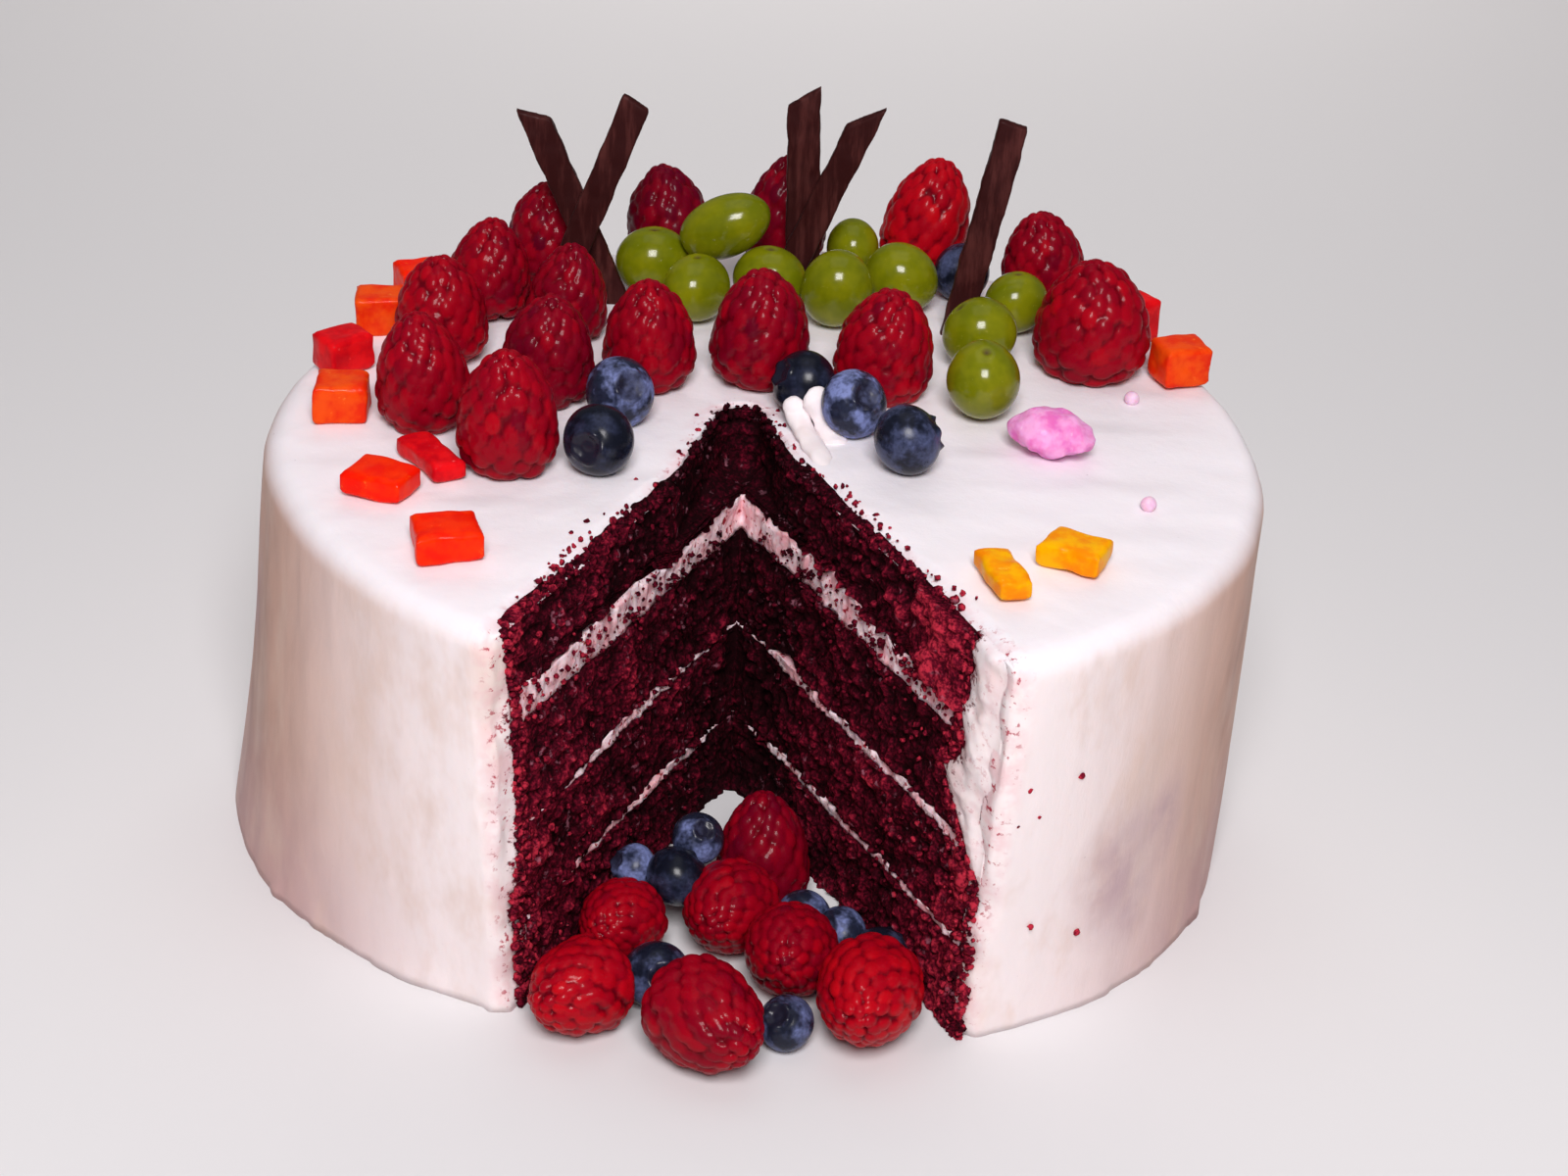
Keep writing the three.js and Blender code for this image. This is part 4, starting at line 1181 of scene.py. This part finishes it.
def remeshed(node):
    """A node's solid divided finely and evenly: points in millimetres, and faces."""
    source = frame["nodes"][node]
    copy = bpy.data.objects.new("remesh", source.data.copy())
    bpy.context.scene.collection.objects.link(copy)
    modifier = copy.modifiers.new("remesh", "REMESH")
    modifier.mode = "VOXEL"
    modifier.voxel_size = REMESH_STEP * MM
    smooth = copy.modifiers.new("smooth", "SMOOTH")
    smooth.iterations = 5
    made = copy.evaluated_get(bpy.context.evaluated_depsgraph_get()).to_mesh()
    points = np.empty(len(made.vertices) * 3)
    made.vertices.foreach_get("co", points)
    faces = [list(polygon.vertices) for polygon in made.polygons]
    bpy.data.objects.remove(copy)
    return points.reshape(-1, 3) / MM, faces


def rough_copy(node, strength, size, seed):
    """The shape of a node's solid, pushed about a little, so that flat faces come out uneven."""
    points, faces = remeshed(node)
    push = [fractal(points, size, 2, seed + axis * 7) for axis in range(3)]
    return points + strength * np.column_stack(push), faces, {}


def make_sticks(material):
    """The chocolate sticks that stand in the icing."""
    for number, node in enumerate(nodes_of("chocolate_stick"), 1):
        show(f"stick_{number}", rough_copy(node, *STICK_RELIEF, 60 + number), material, "chocolate", [node])


def make_dice(materials):
    """The candied fruit dice and the sugar candy."""
    slots = {row["node"]: row["material_slot"] for row in frame["record"]["subparts"]}
    for number, node in enumerate(nodes_of("fruit_dice"), 1):
        slot = slots[node]
        show(f"dice_{number}", rough_copy(node, *DICE_RELIEF, 80 + number), materials[slot], slot, [node])
    candy = rough_copy("sugar_candy", *CANDY_RELIEF, 99)
    show("candy_pink", candy, materials["candy"], "candy", ["sugar_candy"])


def make_pearls(material):
    """Small sugar pearls pressed into the icing."""
    random = np.random.default_rng(PEARL_SEED)
    shapes = []
    for x, y in PEARLS:
        directions, faces = ball_grid(*PEARL_GRID)
        size = PEARL_RADIUS + 0.08 * noise(directions, 0.8, int(random.integers(90)))
        points = directions * size[:, None]
        shapes.append((points + np.array([x, y, CAKE_TOP + PEARL_RISE]), faces, {}))
    show("sugar_pearls", join(shapes), material, "candy")


# Crumbs

def crumb(size, random):
    """One torn crumb: points and faces."""
    directions, faces = ball_grid(*CRUMB_GRID)
    points = directions * random.uniform(0.6, 1.15, (len(directions), 1)) * random.uniform(0.7, 1.2, 3)
    return points * size / 2, faces


def strewn_on_cut(heading, side, drag, random):
    """Crumbs on one cut face, more of them on the uppermost cream, and some on the ground below."""
    facing = facing_of(heading, side)
    torn = tip_reach(heading)[0]
    seam = (LEVELS[TOP_CREAM] + LEVELS[TOPMOST]) / 2
    anywhere = random.uniform(1, ICING_UNDERSIDE, FACE_CRUMBS)
    for height in np.concatenate([anywhere, random.normal(seam, 2.4, CREAM_CRUMBS)]):
        share = random.uniform(0.1, 1.0)
        reach = share * bare_length(heading, drag, height)
        if reach > torn or height < TORN_FLOOR - 2:
            place = on_cut(heading, reach, height) + facing * random.uniform(0.2, 1.0)
            # Painted light: crumbs further out along the cut are brighter.
            yield place, random.uniform(0.6, 1.7), 0.15 + 0.6 * share
    for _ in range(GROUND_CRUMBS):
        place = on_cut(heading, random.uniform(20, 88), 0.4) + facing * random.exponential(2.5)
        yield place, random.uniform(0.6, 1.6), 0.7


def strewn_on_edge(heading, side, drag, random):
    """Crumbs along the icing's cut edge, on top and down the rim, dense at the edge and few beyond it."""
    facing = facing_of(heading, side)
    torn = tip_reach(heading)[0]
    clean = bare_length(heading, drag, CAKE_TOP) - 8
    for _ in range(EDGE_CRUMBS):
        reach = random.uniform(torn - 1, clean)
        height = ICING_UNDERSIDE + random.uniform(-0.2, CAKE_TOP - ICING_UNDERSIDE - 0.4)
        place = on_cut(heading, reach, height) - facing * random.uniform(-0.6, 0.7 * RAGGED_DEPTH)
        # Painted light: crumbs further out along the edge are brighter.
        yield place, random.uniform(0.8, 2.2), 0.1 + 0.55 * reach / clean
    for _ in range(RIM_CRUMBS):
        height = ICING_UNDERSIDE * random.uniform(0, 1) ** 1.5
        beyond = 1.2 + 4.5 * (1 - ease(height, 26, 50))
        reach = bare_length(heading, drag, height) + random.uniform(-2.5, beyond)
        place = on_cut(heading, reach, height) - facing * random.uniform(-0.7, 0.5)
        yield place, random.uniform(0.8, 2.6), random.uniform(0.4, 0.95)
    for _ in range(STRAY_CRUMBS):
        place = on_cut(heading, random.uniform(torn, clean), CAKE_TOP + 0.1)
        place -= facing * (0.8 * RAGGED_DEPTH + random.exponential(1.6))
        yield place, random.uniform(0.6, 1.7), 0.75


def strewn_elsewhere(random):
    """Crumbs round the torn tip and on the icing's side."""
    for index in random.integers(0, len(TORN_EDGE), TIP_CRUMBS):
        spot = TORN_EDGE[index] - TORN_INWARD[index] * random.uniform(-0.8, 0.8)
        height = random.uniform(ICING_UNDERSIDE - 1, CAKE_TOP + 0.1)
        # Painted shade: crumbs round the torn tip are dim.
        yield np.array([*spot, height]), random.uniform(0.8, 2.2), random.uniform(0.05, 0.35)
    for index in random.integers(0, len(TORN_EDGE), TIP_STRAYS):
        spot = TORN_EDGE[index] - TORN_INWARD[index] * (1.2 + random.exponential(2.2))
        yield np.array([*spot, CAKE_TOP + 0.1]), random.uniform(0.7, 2.0), random.uniform(0.5, 0.9)
    for degrees, height in SIDE_CRUMBS:
        angle = math.radians(degrees)
        radius = CAKE_RADIUS - tuck(angle, height) + 0.2
        place = np.array([radius * math.cos(angle), radius * math.sin(angle), height])
        yield place, random.uniform(1.2, 2), 0.9


def crumb_places(random):
    """Where crumbs lie, how large they are and how bright, with painted shade near the torn tip and painted
    light further out along the cuts.
    """
    for (heading, side), drag in zip(CUTS, DRAGS):
        yield from strewn_on_cut(heading, side, drag, random)
        yield from strewn_on_edge(heading, side, drag, random)
    yield from strewn_elsewhere(random)


def make_crumbs(material):
    """Crumbs on the cut faces and strewn over the icing beside them."""
    random = np.random.default_rng(CRUMB_SEED)
    shapes = []
    for centre, size, brightness in crumb_places(random):
        points, faces = crumb(size, random)
        points = points + centre
        # A crumb at the foot lies on the floor, not in it.
        points[:, 2] -= min(0, points[:, 2].min())
        value = np.full(len(points), brightness + random.uniform(-0.15, 0.2))
        shapes.append((points, faces, {"relief": value, "edge": value * 0}))
    show("red_crumbs", join(shapes), material, "sponge")


# Stage

def make_floor():
    """A plain pale floor."""
    shader = Shader("floor", Roughness=0.8)
    shader.feed("Base Color", shader.mix(shader.noise(400, 2), (0.78, 0.77, 0.78), (0.8, 0.79, 0.8)))
    mesh = bpy.data.meshes.new("floor")
    half = FLOOR_HALF * MM
    corners = [(-half, -half, 0), (half, -half, 0), (half, half, 0), (-half, half, 0)]
    mesh.from_pydata(corners, [], [(0, 1, 2, 3)])
    mesh.materials.append(shader.material)
    floor = bpy.data.objects.new("floor", mesh)
    bpy.context.scene.collection.objects.link(floor)


def add_lamp(name, place, width, power, colour, glossy):
    """A soft square lamp that looks at the middle of the cake."""
    data = bpy.data.lights.new(name, "AREA")
    data.size = width * MM
    data.energy = power
    data.color = colour
    lamp = bpy.data.objects.new(name, data)
    lamp.location = np.array(place) * MM
    aim = Vector((LAMP_TARGET - place) * MM)
    lamp.rotation_euler = aim.to_track_quat("-Z", "Y").to_euler()
    lamp.visible_glossy = glossy
    bpy.context.scene.collection.objects.link(lamp)


def make_light():
    """Soft studio light from the front, less from above and behind, with a pale room around."""
    for lamp in LAMPS:
        add_lamp(*lamp)
    world = bpy.data.worlds.new("room")
    world.use_nodes = True
    background = world.node_tree.nodes["Background"]
    background.inputs["Color"].default_value = (*ROOM_COLOUR, 1)
    background.inputs["Strength"].default_value = ROOM_LIGHT
    bpy.context.scene.world = world
    bpy.context.scene.view_settings.view_transform = "Standard"


def make_camera():
    """The camera where the photograph was taken from."""
    data = bpy.data.cameras.new("camera")
    data.lens = CAMERA_LENS
    data.sensor_width = SENSOR_WIDTH
    camera = bpy.data.objects.new("camera", data)
    facing = Matrix.Rotation(-CAMERA_YAW, 4, "Z") @ Matrix.Rotation(math.pi / 2 - CAMERA_PITCH, 4, "X")
    turn = facing @ Matrix.Rotation(CAMERA_ROLL, 4, "Z")
    camera.matrix_world = Matrix.Translation(CAMERA_PLACE * MM) @ turn
    bpy.context.scene.collection.objects.link(camera)
    bpy.context.scene.camera = camera


def make_cake():
    """Every piece of the cake."""
    sponge = sponge_material()
    cream = cream_material()
    raspberry_skin = raspberry_material()
    blueberry_skin = blueberry_material()
    icing = icing_material()
    sweets = sweet_materials()
    make_icing(icing)
    make_dragged_icing(icing)
    for index, name in enumerate(LAYERS):
        make_layer(index, sponge if name.startswith("sponge") else cream)
    make_raspberries(raspberry_skin)
    make_blueberries(blueberry_skin)
    make_grapes(grape_material())
    make_cut_berries(raspberry_skin, blueberry_skin)
    make_sticks(chocolate_material())
    make_dice(sweets)
    make_crumbs(sponge)
    make_lobes(icing)
    make_pearls(sweets["pearl"])


make_camera()
make_light()
make_floor()
make_cake()
